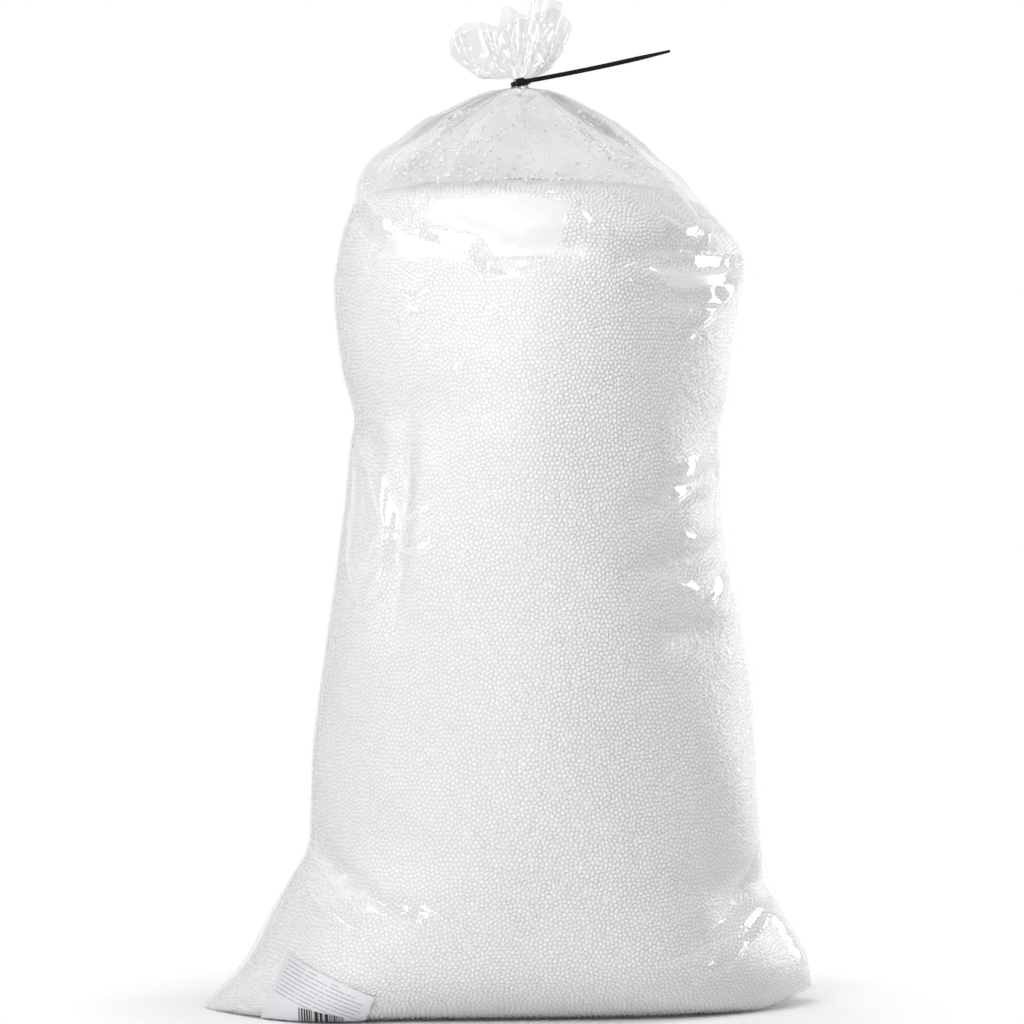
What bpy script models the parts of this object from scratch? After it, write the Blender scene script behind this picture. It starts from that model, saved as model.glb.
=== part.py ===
"""A clear film bag of loose polystyrene beads, gathered at the top and closed with a cable tie.

The bag stands on the floor on its folded-under bottom, with its two bottom corners out to the
sides as ears. Front is -Y, right is +X and the origin is on the floor under the bag's middle.
Everything is in metres.
"""

import math

import bmesh
import bpy
from mathutils import Vector

# Sizes of the bag
EAR_SPAN = 0.640  # from ear to ear along the floor
BODY_DEPTH = 0.410  # front to back at the waist
TIE_HEIGHT = 0.967  # from the floor to the middle of the tie
BASE_ROLL = 0.060  # radius on which the front and the back turn under the bag
CONTACT_LEFT = 0.270  # how far the flat underside runs to the left
CONTACT_RIGHT = 0.250  # and to the right
BASE_TURN = math.radians(5.0)  # the left ear stands further forward than the right one
BASE_TURN_HEIGHT = 0.350  # above this the bag isn't turned
FOOT_SWELL = 0.032  # how far the front swells out beside the left ear
FOOT_SWELL_X = -0.225
FOOT_SWELL_WIDTH = 0.075
FOOT_SWELL_HEIGHT = 0.150
EAR_LIFT = 0.016  # how far the right ear stands off the floor
EAR_LIFT_LENGTH = 0.070  # and the length over which it rises
FILM_THICKNESS = 0.00015
NECK_X = 0.0090  # the neck leans this far to the right
NECK_RADIUS = 0.0085  # of the film where the tie pinches it
NECK_HALF_LENGTH = 0.0048  # of the pinched stretch
COLLAR_RADIUS = 0.0310  # of the film just under the pinched stretch
COLLAR_DROP = 0.0035  # how far below the pinched stretch that is
RUFFLE_HEIGHT = 0.0855  # from the middle of the tie to the ruffle's highest point
RUFFLE_DEPTH = 0.024  # from the neck's axis to the front and to the back of the ruffle's open end
RUFFLE_PLEAT = 0.0050  # how far the pleats of the ruffle stand out

# Sizes of the filling
FILL_TOP = 0.862  # from the floor to the middle of the filling's top
FILL_SHOULDER = 0.838  # from the floor to where the top starts to round off
FILL_INSET = 0.0014  # from the film to the filling on the walls
EAR_INSET = 0.010  # from the tip of an ear to the filling in it
TOUCH_GAP = 0.0003  # between pieces that touch

# Sizes of the cable tie
STRAP_WIDTH = 0.0048
STRAP_THICKNESS = 0.0013
TAIL_LENGTH = 0.160  # from the middle of the neck to the tip
TIP_LENGTH = 0.034  # of the tapered, ribbed end
TIP_WIDTH = 0.0028
HEAD_LENGTH = 0.0095
HEAD_DEPTH = 0.0062
HEAD_WIDTH = 0.0084
HEAD_EDGE = 0.0007  # bevel on the head's edges
TIP_RIBS = 9
RIB_HEIGHT = 0.00035
TIE_TILT = math.radians(11.8)  # the tie and its tail rise to the right

# Sizes of the label, as it is seen from the front
LABEL_WIDTH = 0.099
LABEL_HEIGHT = 0.090
LABEL_THICKNESS = 0.00015
LABEL_X = -0.359  # its upper left corner, as a share of the ear span
LABEL_Z = 0.066  # and its height above the floor
LABEL_TILT = math.radians(-22.0)
LABEL_FOOT = 0.0025  # the label ends this far above the floor, where it turns under the bag

# Slack of the film
SWELLS = (0.0022, 0.0016, 0.0010)  # heights of the broad, the middling and the fine waves
CONE_PLEATS = 0.012  # depth of the pleats where the film starts to gather, as a share of the radius
NECK_PLEATS = 0.16  # and how much deeper they are under the tie
PINCHED_PLEATS = 0.22  # depth of the pleats inside the tie
COLLAR_PLEATS = 0.20  # and just under it
TOP_RIPPLE = 0.003  # height of the waves on the filling's top

# How finely the lofts are cut
AROUND = 64
ROLL_ANGLES = (20.0, 42.0, 65.0, 90.0)
RUFFLE_RINGS = 5
PLEATS = 11
STRAP_ARC_STEPS = 28

# The bag's outline. Heights are shares of the tie's height, the reaches to the left and the
# right are shares of half the ear span, and the depth is a share of half the body's depth.
# The last number is 1 for an oval section and more for one with pointed ends, as at the ears.
OUTLINE = (
    (0.000, 1.020, 1.012, 0.870, 1.55),
    (0.046, 0.890, 0.985, 0.895, 1.45),
    (0.093, 0.809, 0.912, 0.908, 1.30),
    (0.134, 0.736, 0.836, 0.912, 1.14),
    (0.170, 0.673, 0.830, 0.915, 1.03),
    (0.212, 0.658, 0.822, 0.920, 0.98),
    (0.294, 0.641, 0.802, 0.930, 0.94),
    (0.413, 0.612, 0.753, 0.955, 0.92),
    (0.491, 0.572, 0.709, 0.985, 0.92),
    (0.548, 0.538, 0.697, 1.000, 0.92),
    (0.608, 0.519, 0.689, 1.008, 0.92),
    (0.634, 0.511, 0.698, 1.005, 0.92),
    (0.655, 0.525, 0.712, 1.002, 0.92),
    (0.680, 0.551, 0.722, 1.000, 0.92),
    (0.723, 0.573, 0.732, 0.985, 0.93),
    (0.775, 0.587, 0.752, 0.965, 0.94),
    (0.810, 0.573, 0.760, 0.950, 0.95),
    (0.839, 0.553, 0.706, 0.925, 0.96),
    (0.873, 0.522, 0.612, 0.850, 0.98),
    (0.899, 0.504, 0.546, 0.740, 1.00),
    (0.920, 0.454, 0.472, 0.620, 1.00),
    (0.940, 0.370, 0.398, 0.505, 1.00),
    (0.960, 0.296, 0.298, 0.375, 1.00),
    (0.975, 0.196, 0.212, 0.250, 1.00),
    (0.986, 0.128, 0.158, 0.150, 1.00),
)
WIDEST_STEP = 0.041  # rings are added between two that are further apart than this
CLOSEST_STEP = 0.012  # a row of the outline this near to the filling's shoulder gets no ring
CONE_START = 0.830  # share of the tie's height above which the film gathers into pleats

# The ruffle's open end, as it is seen from the front. Each row has its angle round the neck in
# degrees, its reach to the right of the neck's axis as a share of the ruffle's height, its reach to
# the back as a share of the ruffle's depth, and its height as a share of the ruffle's height.
MOUTH = (
    (0.0, 0.620, 0.00, 0.681),
    (20.0, 0.595, 0.33, 0.730),
    (45.0, 0.484, 0.75, 0.924),
    (70.0, 0.288, 1.00, 0.947),
    (90.0, 0.080, 0.62, 0.800),
    (110.0, -0.105, 1.00, 0.842),
    (130.0, -0.290, 0.60, 0.655),
    (150.0, -0.547, 0.75, 0.690),
    (168.0, -0.793, 0.38, 0.561),
    (180.0, -0.891, 0.00, 0.361),
    (200.0, -0.793, -0.33, 0.632),
    (215.0, -0.670, -0.58, 0.722),
    (232.0, -0.425, -0.75, 0.716),
    (247.0, -0.265, -0.42, 0.694),
    (256.0, -0.216, -0.83, 0.915),
    (270.0, -0.068, -1.00, 0.877),
    (283.0, 0.080, -0.60, 0.816),
    (291.0, 0.129, -0.92, 0.964),
    (305.0, 0.276, -1.00, 1.000),
    (330.0, 0.473, -0.60, 0.975),
    (350.0, 0.582, -0.21, 0.779),
)

# Broad folds that press the film in. Each has the angle and the height of its two ends, its
# half width and its depth. Angles are in degrees: 0 is the right, 180 the left, 270 the front.
FOLDS = (
    ((228.0, 0.400), (222.0, 0.615), 0.018, 0.012),
    ((294.0, 0.776), (350.0, 0.782), 0.017, 0.017),
    ((300.0, 0.738), (338.0, 0.728), 0.015, 0.008),
    ((302.0, 0.520), (345.0, 0.560), 0.016, 0.010),
    ((300.0, 0.455), (340.0, 0.480), 0.016, 0.010),
    ((306.0, 0.385), (340.0, 0.400), 0.016, 0.007),
    ((192.0, 0.600), (216.0, 0.575), 0.015, 0.006),
    ((194.0, 0.165), (238.0, 0.105), 0.016, 0.011),
    ((338.0, 0.135), (306.0, 0.075), 0.016, 0.011),
    ((232.0, 0.830), (262.0, 0.775), 0.016, 0.010),
    ((262.0, 0.775), (284.0, 0.780), 0.016, 0.010),
    ((198.0, 0.815), (226.0, 0.775), 0.016, 0.009),
    ((150.0, 0.640), (115.0, 0.560), 0.016, 0.008),
    ((30.0, 0.600), (66.0, 0.540), 0.016, 0.009),
    ((100.0, 0.780), (140.0, 0.765), 0.015, 0.009),
    ((40.0, 0.795), (80.0, 0.770), 0.015, 0.008),
    ((25.0, 0.170), (62.0, 0.085), 0.015, 0.009),
    ((152.0, 0.175), (118.0, 0.090), 0.015, 0.008),
    ((75.0, 0.350), (105.0, 0.420), 0.018, 0.006),
)


def clear_scene():
    """Removes whatever the file opens with."""
    for item in list(bpy.data.objects):
        bpy.data.objects.remove(item, do_unlink=True)


def new_collection(name):
    """Makes a collection in the scene."""
    group = bpy.data.collections.new(name)
    bpy.context.scene.collection.children.link(group)
    return group


def new_object(name, mesh_data, group, material):
    """Puts a bmesh into a new named object with its material."""
    mesh = bpy.data.meshes.new(name)
    mesh_data.to_mesh(mesh)
    mesh_data.free()
    item = bpy.data.objects.new(name, mesh)
    group.objects.link(item)
    if material:
        mesh.materials.append(material)
    return item


def plastic(name, colour, roughness, alpha=1.0):
    """A Principled material for one piece."""
    material = bpy.data.materials.new(name)
    material.use_nodes = True
    shader = material.node_tree.nodes["Principled BSDF"]
    shader.inputs["Base Color"].default_value = (*colour, 1.0)
    shader.inputs["Roughness"].default_value = roughness
    shader.inputs["Metallic"].default_value = 0.0
    shader.inputs["Alpha"].default_value = alpha
    return material


def smoothstep(low, high, value):
    """0 below low, 1 above high and a smooth rise between them."""
    share = min(max((value - low) / (high - low), 0.0), 1.0)
    return share * share * (3.0 - 2.0 * share)


def outline_at(height):
    """Left reach, right reach, half depth and pointedness of the bag at a height, on a smooth curve."""
    share = min(max(height / TIE_HEIGHT, 0.0), OUTLINE[-1][0])
    upper = next(i for i in range(1, len(OUTLINE)) if share <= OUTLINE[i][0])
    rows = [OUTLINE[min(max(i, 0), len(OUTLINE) - 1)] for i in range(upper - 2, upper + 2)]
    span = rows[2][0] - rows[1][0]
    place = (share - rows[1][0]) / span
    values = []
    for column in range(1, 5):
        slopes = [
            (rows[i + 1][column] - rows[i - 1][column]) / (rows[i + 1][0] - rows[i - 1][0]) * span
            for i in (1, 2)
        ]
        start, end = rows[1][column], rows[2][column]
        cubic = 2.0 * start - 2.0 * end + slopes[0] + slopes[1]
        square = -3.0 * start + 3.0 * end - 2.0 * slopes[0] - slopes[1]
        values.append(((cubic * place + square) * place + slopes[0]) * place + start)
    half_span = EAR_SPAN / 2.0
    return values[0] * half_span, values[1] * half_span, values[2] * BODY_DEPTH / 2.0, values[3]


def pleat_wave(angle):
    """From -1 in a valley to 1 on a ridge of the gathered film, unevenly spaced."""
    return math.cos(PLEATS * angle + 0.9 * math.sin(2.0 * angle + 0.5) + 0.5 * math.sin(3.0 * angle))


def pleat_depth(height):
    """How deep the pleats are, as a share of the radius: none on the body, deep at the neck."""
    share = height / TIE_HEIGHT
    return CONE_PLEATS * smoothstep(CONE_START, 0.90, share) + NECK_PLEATS * smoothstep(0.90, 0.99, share)


def fold_depth(angle, height, outer):
    """How far the folds press the film in at an angle and a height, where its radius is outer."""
    total = 0.0
    for (angle_a, height_a), (angle_b, height_b), width, depth in FOLDS:
        turn = math.radians(angle_b - angle_a)
        along = (turn * outer, height_b - height_a)
        away = (angle - math.radians(angle_a) + math.pi) % (2.0 * math.pi) - math.pi
        place = (away * outer, height - height_a)
        length = math.hypot(*along)
        share = (place[0] * along[0] + place[1] * along[1]) / (length * length)
        clipped = min(max(share, 0.0), 1.0)
        distance = math.hypot(place[0] - clipped * along[0], place[1] - clipped * along[1])
        fade = math.sin(math.pi * (0.12 + 0.76 * clipped))
        total += depth * fade * math.exp(-((distance / width) ** 2))
    return total


def lumps(angle, height):
    """The slack and swell of the body, in metres outwards."""
    swell = SWELLS[0] * math.sin(3.0 * angle + 9.0 * height) * math.sin(11.0 * height + 1.0)
    slack = SWELLS[1] * math.sin(5.0 * angle - 17.0 * height + 2.0)
    fine = SWELLS[2] * math.sin(8.0 * angle + 26.0 * height)
    fade = smoothstep(0.02, 0.12, height) * (1.0 - smoothstep(0.80, 0.90, height / TIE_HEIGHT))
    return (swell + slack + fine) * fade


def half_section(angle, pointed):
    """How far a section bulges to the front or back at an angle, as a share of its half depth."""
    fullness = 2.0 + 2.2 * (pointed - 1.0)
    bulge = max(1.0 - abs(math.cos(angle)) ** fullness, 0.0) ** (pointed / 2.0)
    return math.copysign(bulge, math.sin(angle))


def settled(point, height):
    """The point with the swell beside the left ear and the turn that the bag's bottom has."""
    low = 1.0 - smoothstep(0.0, FOOT_SWELL_HEIGHT, height)
    place = (point.x - FOOT_SWELL_X) / FOOT_SWELL_WIDTH
    if point.y < 0.0:
        swell = FOOT_SWELL * math.exp(-(place**2)) * low
        point = point - Vector((0.0, swell * smoothstep(0.0, 0.03, -point.y), 0.0))
    turn = BASE_TURN * (1.0 - smoothstep(0.0, BASE_TURN_HEIGHT, height))
    x = point.x * math.cos(turn) - point.y * math.sin(turn)
    y = point.x * math.sin(turn) + point.y * math.cos(turn)
    return Vector((x, y, point.z))


def wall_point(angle, height, inset=0.0, ear_inset=0.0):
    """A point of the body's wall, inset from the film by inset and at the ears by ear_inset."""
    left, right, depth, pointed = outline_at(height)
    centre = (right - left) / 2.0
    half_width = (right + left) / 2.0
    beyond = half_width * math.cos(angle) + centre - CONTACT_RIGHT
    raised = EAR_LIFT * smoothstep(0.0, EAR_LIFT_LENGTH, beyond)
    ear = smoothstep(1.05, 1.40, pointed)
    half_width -= inset + (ear_inset - inset) * ear
    under = BASE_ROLL - math.sqrt(max(BASE_ROLL**2 - max(BASE_ROLL - height, 0.0) ** 2, 0.0))
    depth -= under + inset
    cosine = math.cos(angle)
    across = Vector((half_width * cosine, depth * half_section(angle, pointed), 0.0))
    outer = across.length
    pressed = fold_depth(angle, height, outer) * (1.0 - 0.8 * ear * abs(cosine) ** 6)
    across *= (outer - pressed + lumps(angle, height)) / outer
    across *= 1.0 - pleat_depth(height) * (1.0 - pleat_wave(angle))
    lean = smoothstep(0.93, 0.99, height / TIE_HEIGHT)
    centre += (NECK_X - centre) * lean
    raised *= 1.0 - smoothstep(0.0, 0.10, height)
    return settled(Vector((across.x + centre, across.y, height + raised)), height)


def contact_ring(inset, height):
    """The edge of the flat underside."""
    _, _, depth, pointed = outline_at(0.0)
    centre = (CONTACT_RIGHT - CONTACT_LEFT) / 2.0
    half_width = (CONTACT_RIGHT + CONTACT_LEFT) / 2.0 - inset
    half_depth = depth - BASE_ROLL - inset
    ring = []
    for angle in angles():
        x = centre + half_width * math.cos(angle)
        ring.append(settled(Vector((x, half_depth * half_section(angle, pointed), height)), height))
    return ring


def angles():
    """The angles of a ring's points, from the right ear by way of the back."""
    return [2.0 * math.pi * i / AROUND for i in range(AROUND)]


def roll_heights():
    """The heights of the rings on the rounded bottom edge."""
    return [BASE_ROLL * (1.0 - math.cos(math.radians(turn))) for turn in ROLL_ANGLES]


def wall_heights():
    """The heights of the rings over the rounded bottom edge, with one where the filling's top starts."""
    rows = [row[0] * TIE_HEIGHT for row in OUTLINE if row[0] * TIE_HEIGHT > BASE_ROLL + CLOSEST_STEP]
    kept = sorted([row for row in rows if abs(row - FILL_SHOULDER) > CLOSEST_STEP] + [FILL_SHOULDER])
    heights = [kept[0]]
    for low, high in zip(kept, kept[1:]):
        parts = math.ceil((high - low) / WIDEST_STEP)
        heights += [low + (high - low) * i / parts for i in range(1, parts + 1)]
    return heights


def round_ring(radius, depth, height):
    """A pleated round ring about the neck's axis."""
    ring = []
    for angle in angles():
        reach = radius * (1.0 - depth * (1.0 - pleat_wave(angle)))
        ring.append(Vector((NECK_X + reach * math.cos(angle), reach * math.sin(angle), height)))
    return ring


def neck_rings():
    """The rings from just under the tie to just over it."""
    low, high = TIE_HEIGHT - NECK_HALF_LENGTH, TIE_HEIGHT + NECK_HALF_LENGTH
    return [
        round_ring(COLLAR_RADIUS, COLLAR_PLEATS, low - COLLAR_DROP),
        round_ring(NECK_RADIUS, PINCHED_PLEATS, low),
        round_ring(NECK_RADIUS, PINCHED_PLEATS, high),
    ]


def mouth_point(angle):
    """The point of the ruffle's open end at an angle round the neck, on a smooth curve."""
    turn = math.degrees(angle) % 360.0
    count = len(MOUTH)
    lower = max(i for i in range(count) if MOUTH[i][0] <= turn)
    rows = [MOUTH[(lower + k) % count] for k in (-1, 0, 1, 2)]
    span = (rows[2][0] - rows[1][0]) % 360.0
    place = (turn - rows[1][0]) / span
    values = []
    for column in (1, 2, 3):
        before, start, end, after = (row[column] for row in rows)
        straight = start + (end - start) * place
        bend = place * (1.0 - place) * 0.25 * (start + end - before - after)
        values.append(straight + bend)
    across, back, up = values
    x = NECK_X + across * RUFFLE_HEIGHT
    return Vector((x, back * RUFFLE_DEPTH, TIE_HEIGHT + up * RUFFLE_HEIGHT))


def ruffle_point(angle, start, share):
    """A point of the ruffle, a share of the way from the tie, at start, to its open end."""
    left = smoothstep(0.3, 1.0, -math.cos(angle))
    right = smoothstep(0.3, 1.0, math.cos(angle))
    whole = mouth_point(angle) - start
    outwards = share ** (0.9 - 0.25 * right - 0.30 * left)
    upwards = share ** (1.0 + 0.2 * right + 1.3 * left)
    stand = RUFFLE_PLEAT * pleat_wave(angle) * smoothstep(0.0, 0.35, share) * (1.0 - 0.5 * share)
    pleat = Vector((0.5 * math.cos(angle), math.sin(angle), 0.0)).normalized() * stand
    return start + Vector((whole.x * outwards, whole.y * outwards, whole.z * upwards)) + pleat


def ruffle_rings(base):
    """The rings of the open ruffle above the tie, which starts at the ring base."""
    rings = []
    for i in range(1, RUFFLE_RINGS + 1):
        share = i / RUFFLE_RINGS
        rings.append([ruffle_point(angle, start, share) for angle, start in zip(angles(), base)])
    return rings


def film_rings():
    """All rings of the film, from the flat underside to the ruffle's open end."""
    rings = [contact_ring(0.0, 0.0)]
    for height in roll_heights() + wall_heights():
        rings.append([wall_point(angle, height) for angle in angles()])
    rings += neck_rings()
    rings += ruffle_rings(rings[-1])
    return rings


def loft(rings, close_top):
    """A skin through equal rings, closed by a flat face at its bottom and, if asked, a fan at its top."""
    mesh = bmesh.new()
    rows = [[mesh.verts.new(point) for point in ring] for ring in rings]
    for low, high in zip(rows, rows[1:]):
        for i in range(len(low)):
            j = (i + 1) % len(low)
            mesh.faces.new((low[i], low[j], high[j], high[i]))
    mesh.faces.new(tuple(reversed(rows[0])))
    if close_top:
        top = mesh.verts.new(sum((v.co for v in rows[-1]), Vector()) / len(rows[-1]))
        for i in range(len(rows[-1])):
            mesh.faces.new((rows[-1][i], rows[-1][(i + 1) % len(rows[-1])], top))
    sides = [face for face in mesh.faces if len(face.verts) == 4]
    bmesh.ops.triangulate(mesh, faces=sides, quad_method="SHORT_EDGE")
    mesh.normal_update()
    return mesh


def build_film(group):
    """The bag: one blown film, open at the ruffle's end."""
    material = plastic("clear_film", (0.90, 0.91, 0.92), 0.12, 0.35)
    film = new_object("bag_film", loft(film_rings(), close_top=False), group, material)
    film.data.shade_smooth()
    shell = film.modifiers.new("film thickness", "SOLIDIFY")
    shell.thickness = FILM_THICKNESS
    shell.offset = -1.0
    return film


def fill_rings():
    """The rings of the filling, just inside the film, with a rounded top."""
    floor = FILM_THICKNESS + TOUCH_GAP
    rings = [contact_ring(FILL_INSET, floor)]
    lower = [height for height in roll_heights() + wall_heights() if height < FILL_SHOULDER - 1e-6]
    for height in lower:
        ring = [wall_point(angle, height, FILL_INSET, EAR_INSET) for angle in angles()]
        rings.append([point + Vector((0.0, 0.0, floor)) for point in ring])
    rim = [wall_point(angle, FILL_SHOULDER, FILL_INSET) for angle in angles()]
    middle = Vector((sum(point.x for point in rim) / len(rim), 0.0, 0.0))
    rise = FILL_TOP - FILL_SHOULDER
    for turn in (0.0, 32.0, 58.0, 76.0):
        share = math.cos(math.radians(turn)) ** 0.8
        height = FILL_SHOULDER + rise * math.sin(math.radians(turn))
        ring = []
        for point, angle in zip(rim, angles()):
            flat = middle + (Vector((point.x, point.y, 0.0)) - middle) * share
            ripple = TOP_RIPPLE * math.sin(2.0 * angle + 5.0 * share) * math.sin(math.radians(turn))
            ring.append(flat + Vector((0.0, 0.0, height + ripple)))
        rings.append(ring)
    return rings


def build_fill(group):
    """The beads, as one closed solid of their outer shape."""
    material = plastic("polystyrene_beads", (0.86, 0.86, 0.85), 0.70)
    fill = new_object("bead_fill", loft(fill_rings(), close_top=True), group, material)
    fill.data.shade_smooth()
    return fill


def strap_ring(mesh):
    """The tie's loop: a flat band round the neck, in the tie's own frame."""
    inner = NECK_RADIUS + TOUCH_GAP * 2.0
    outer = inner + STRAP_THICKNESS
    half = STRAP_WIDTH / 2.0
    rows = []
    for i in range(STRAP_ARC_STEPS):
        angle = 2.0 * math.pi * i / STRAP_ARC_STEPS
        cosine, sine = math.cos(angle), math.sin(angle)
        corners = ((inner, -half), (outer, -half), (outer, half), (inner, half))
        rows.append([mesh.verts.new((r * cosine, r * sine, z)) for r, z in corners])
    for i in range(STRAP_ARC_STEPS):
        here, there = rows[i], rows[(i + 1) % STRAP_ARC_STEPS]
        for k in range(4):
            mesh.faces.new((here[k], there[k], there[(k + 1) % 4], here[(k + 1) % 4]))
    return outer


def tail_sections():
    """Places along the tail, each with its half width and half thickness, ribbed towards the tip."""
    half, thin = STRAP_WIDTH / 2.0, STRAP_THICKNESS / 2.0
    tip_start = TAIL_LENGTH - TIP_LENGTH
    sections = [(HEAD_LENGTH * 0.3, half, thin), (tip_start, half, thin)]
    pitch = TIP_LENGTH / (TIP_RIBS + 1)
    for i in range(TIP_RIBS):
        share = (i + 1) / (TIP_RIBS + 1)
        width = half + (TIP_WIDTH / 2.0 - half) * share
        place = tip_start + pitch * (i + 0.5)
        sections += [
            (place, width, thin),
            (place + pitch * 0.20, width, thin + RIB_HEIGHT),
            (place + pitch * 0.50, width, thin + RIB_HEIGHT),
            (place + pitch * 0.70, width, thin),
        ]
    sections.append((TAIL_LENGTH, TIP_WIDTH / 2.0, thin * 0.8))
    return sections


def strap_tail(mesh, front):
    """The tie's long tail, straight to the right from the front of the loop."""
    rows = []
    for x, wide, thick in tail_sections():
        corners = ((-thick, -wide), (thick, -wide), (thick, wide), (-thick, wide))
        rows.append([mesh.verts.new((x, front + across, up)) for across, up in corners])
    for here, there in zip(rows, rows[1:]):
        for k in range(4):
            mesh.faces.new((here[k], here[(k + 1) % 4], there[(k + 1) % 4], there[k]))
    mesh.faces.new(tuple(reversed(rows[0])))
    mesh.faces.new(tuple(rows[-1]))


def join_with(item, cutter):
    """Joins a hidden helper's shape to a piece."""
    union = item.modifiers.new("join " + cutter.name, "BOOLEAN")
    union.operation = "UNION"
    union.solver = "EXACT"
    union.object = cutter


def helper(name, mesh_data, group):
    """A shape that is only joined to a piece, and isn't one itself."""
    bmesh.ops.recalc_face_normals(mesh_data, faces=mesh_data.faces)
    item = new_object(name, mesh_data, group, None)
    item.hide_render = True
    item.display_type = "WIRE"
    return item


def build_tie(group, helpers):
    """The cable tie: a loop, a head in front of the neck and a long tail to the right."""
    material = plastic("black_nylon", (0.012, 0.012, 0.013), 0.38)
    ring_mesh = bmesh.new()
    outer = strap_ring(ring_mesh)
    bmesh.ops.recalc_face_normals(ring_mesh, faces=ring_mesh.faces)
    tie = new_object("cable_tie", ring_mesh, group, material)

    front = -(outer + STRAP_THICKNESS * 0.6)
    tail_mesh = bmesh.new()
    strap_tail(tail_mesh, front)
    tail = helper("tie tail", tail_mesh, helpers)

    head_mesh = bmesh.new()
    bmesh.ops.create_cube(head_mesh, size=1.0)
    size = Vector((HEAD_LENGTH, HEAD_DEPTH, HEAD_WIDTH))
    head_front = -(NECK_RADIUS + TOUCH_GAP * 2.0 + HEAD_DEPTH / 2.0)
    for corner in head_mesh.verts:
        corner.co = corner.co * size + Vector((0.0, head_front, 0.0))
    bmesh.ops.bevel(
        head_mesh, geom=head_mesh.edges[:], offset=HEAD_EDGE, segments=2, affect="EDGES", profile=0.5
    )
    head = helper("tie head", head_mesh, helpers)

    join_with(tie, head)
    join_with(tie, tail)
    for item in (tie, tail, head):
        item.location = (NECK_X, 0.0, TIE_HEIGHT)
        item.rotation_euler = (0.0, -TIE_TILT, 0.0)
    return tie


def label_planes():
    """The planes that cut the label out of the film's front: a point on each, and the side that goes."""
    along = Vector((math.cos(LABEL_TILT), 0.0, math.sin(LABEL_TILT)))
    down = Vector((math.sin(LABEL_TILT), 0.0, -math.cos(LABEL_TILT)))
    corner = Vector((LABEL_X * EAR_SPAN, 0.0, LABEL_Z))
    return (
        (corner, -along),
        (corner + along * LABEL_WIDTH, along),
        (corner, -down),
        (corner + down * LABEL_HEIGHT, down),
        (Vector((0.0, 0.0, LABEL_FOOT)), Vector((0.0, 0.0, -1.0))),
    )


def build_label(group, film):
    """The label: a thin sheet that follows the film, low on the front beside the left ear."""
    mesh = bmesh.new()
    mesh.from_mesh(film.data)
    mesh.normal_update()
    for corner in mesh.verts:
        corner.co += corner.normal * TOUCH_GAP
    too_high = LABEL_Z * 2.0
    away = [face for face in mesh.faces if face.normal.y > -0.05 or face.calc_center_median().z > too_high]
    bmesh.ops.delete(mesh, geom=away, context="FACES")
    for place, side in label_planes():
        parts = mesh.verts[:] + mesh.edges[:] + mesh.faces[:]
        bmesh.ops.bisect_plane(mesh, geom=parts, plane_co=place, plane_no=side, clear_outer=True)
    material = plastic("printed_label", (0.80, 0.80, 0.84), 0.45)
    label = new_object("label", mesh, group, material)
    label.data.shade_smooth()
    sheet = label.modifiers.new("label thickness", "SOLIDIFY")
    sheet.thickness = LABEL_THICKNESS
    sheet.offset = 1.0
    return label


def main():
    """Builds the whole bag."""
    clear_scene()
    group = new_collection("bag of polystyrene beads")
    helpers = new_collection("shapes that are joined")
    helpers.hide_render = True
    film = build_film(group)
    build_fill(group)
    build_tie(group, helpers)
    build_label(group, film)


main()
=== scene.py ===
"""The looks of a clear film bag full of polystyrene beads, closed with a cable tie.

The film, the beads behind it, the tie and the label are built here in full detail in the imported
model's frame: front is -Y, right is +X, the floor is at 0 and everything is in metres.
"""

from __future__ import annotations

import logging
import math
from dataclasses import dataclass, field
from enum import Enum
from typing import Sequence, Union

import bmesh
import bpy
import numpy as np
from mathutils import Matrix, Vector
from mathutils.bvhtree import BVHTree
from mathutils.geometry import delaunay_2d_cdt


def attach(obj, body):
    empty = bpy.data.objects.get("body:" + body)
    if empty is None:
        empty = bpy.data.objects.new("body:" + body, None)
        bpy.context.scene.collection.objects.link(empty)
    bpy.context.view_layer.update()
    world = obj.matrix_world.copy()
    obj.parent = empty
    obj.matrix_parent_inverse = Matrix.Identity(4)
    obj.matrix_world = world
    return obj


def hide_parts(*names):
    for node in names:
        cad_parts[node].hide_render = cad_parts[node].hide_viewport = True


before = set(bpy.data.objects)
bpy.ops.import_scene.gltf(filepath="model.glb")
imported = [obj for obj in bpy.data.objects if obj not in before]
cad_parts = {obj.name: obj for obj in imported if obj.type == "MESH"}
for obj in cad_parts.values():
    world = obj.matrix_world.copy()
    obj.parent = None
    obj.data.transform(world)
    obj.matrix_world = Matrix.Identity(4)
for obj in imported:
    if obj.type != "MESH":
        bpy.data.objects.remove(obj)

log = logging.getLogger("bag")
Array = np.ndarray
Triple = tuple[float, float, float]
Tint = Triple
Point = tuple[float, float]
Material = bpy.types.Material
Object = bpy.types.Object
Draft = bmesh.types.BMesh
Corner = bmesh.types.BMVert

# The bag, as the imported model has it
EAR_SPAN = 0.640
BODY_DEPTH = 0.410
TIE_HEIGHT = 0.967
BASE_ROLL = 0.060
CONTACT_LEFT = 0.270
CONTACT_RIGHT = 0.250
BASE_TURN = math.radians(5.0)
BASE_TURN_HEIGHT = 0.350
FOOT_SWELL = 0.032
FOOT_SWELL_X = -0.225
FOOT_SWELL_WIDTH = 0.075
FOOT_SWELL_HEIGHT = 0.150
EAR_LIFT = 0.016
EAR_LIFT_LENGTH = 0.070
NECK_X = 0.0090
NECK_RADIUS = 0.0085
NECK_HALF_LENGTH = 0.0048
COLLAR_RADIUS = 0.0310
COLLAR_DROP = 0.0035
RUFFLE_HEIGHT = 0.0855
RUFFLE_DEPTH = 0.024
RUFFLE_PLEAT = 0.0050
FILL_TOP = 0.862
FILL_SHOULDER = 0.838
SWELLS = (0.0022, 0.0016, 0.0010)
CONE_PLEATS = 0.012
NECK_PLEATS = 0.16
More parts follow.
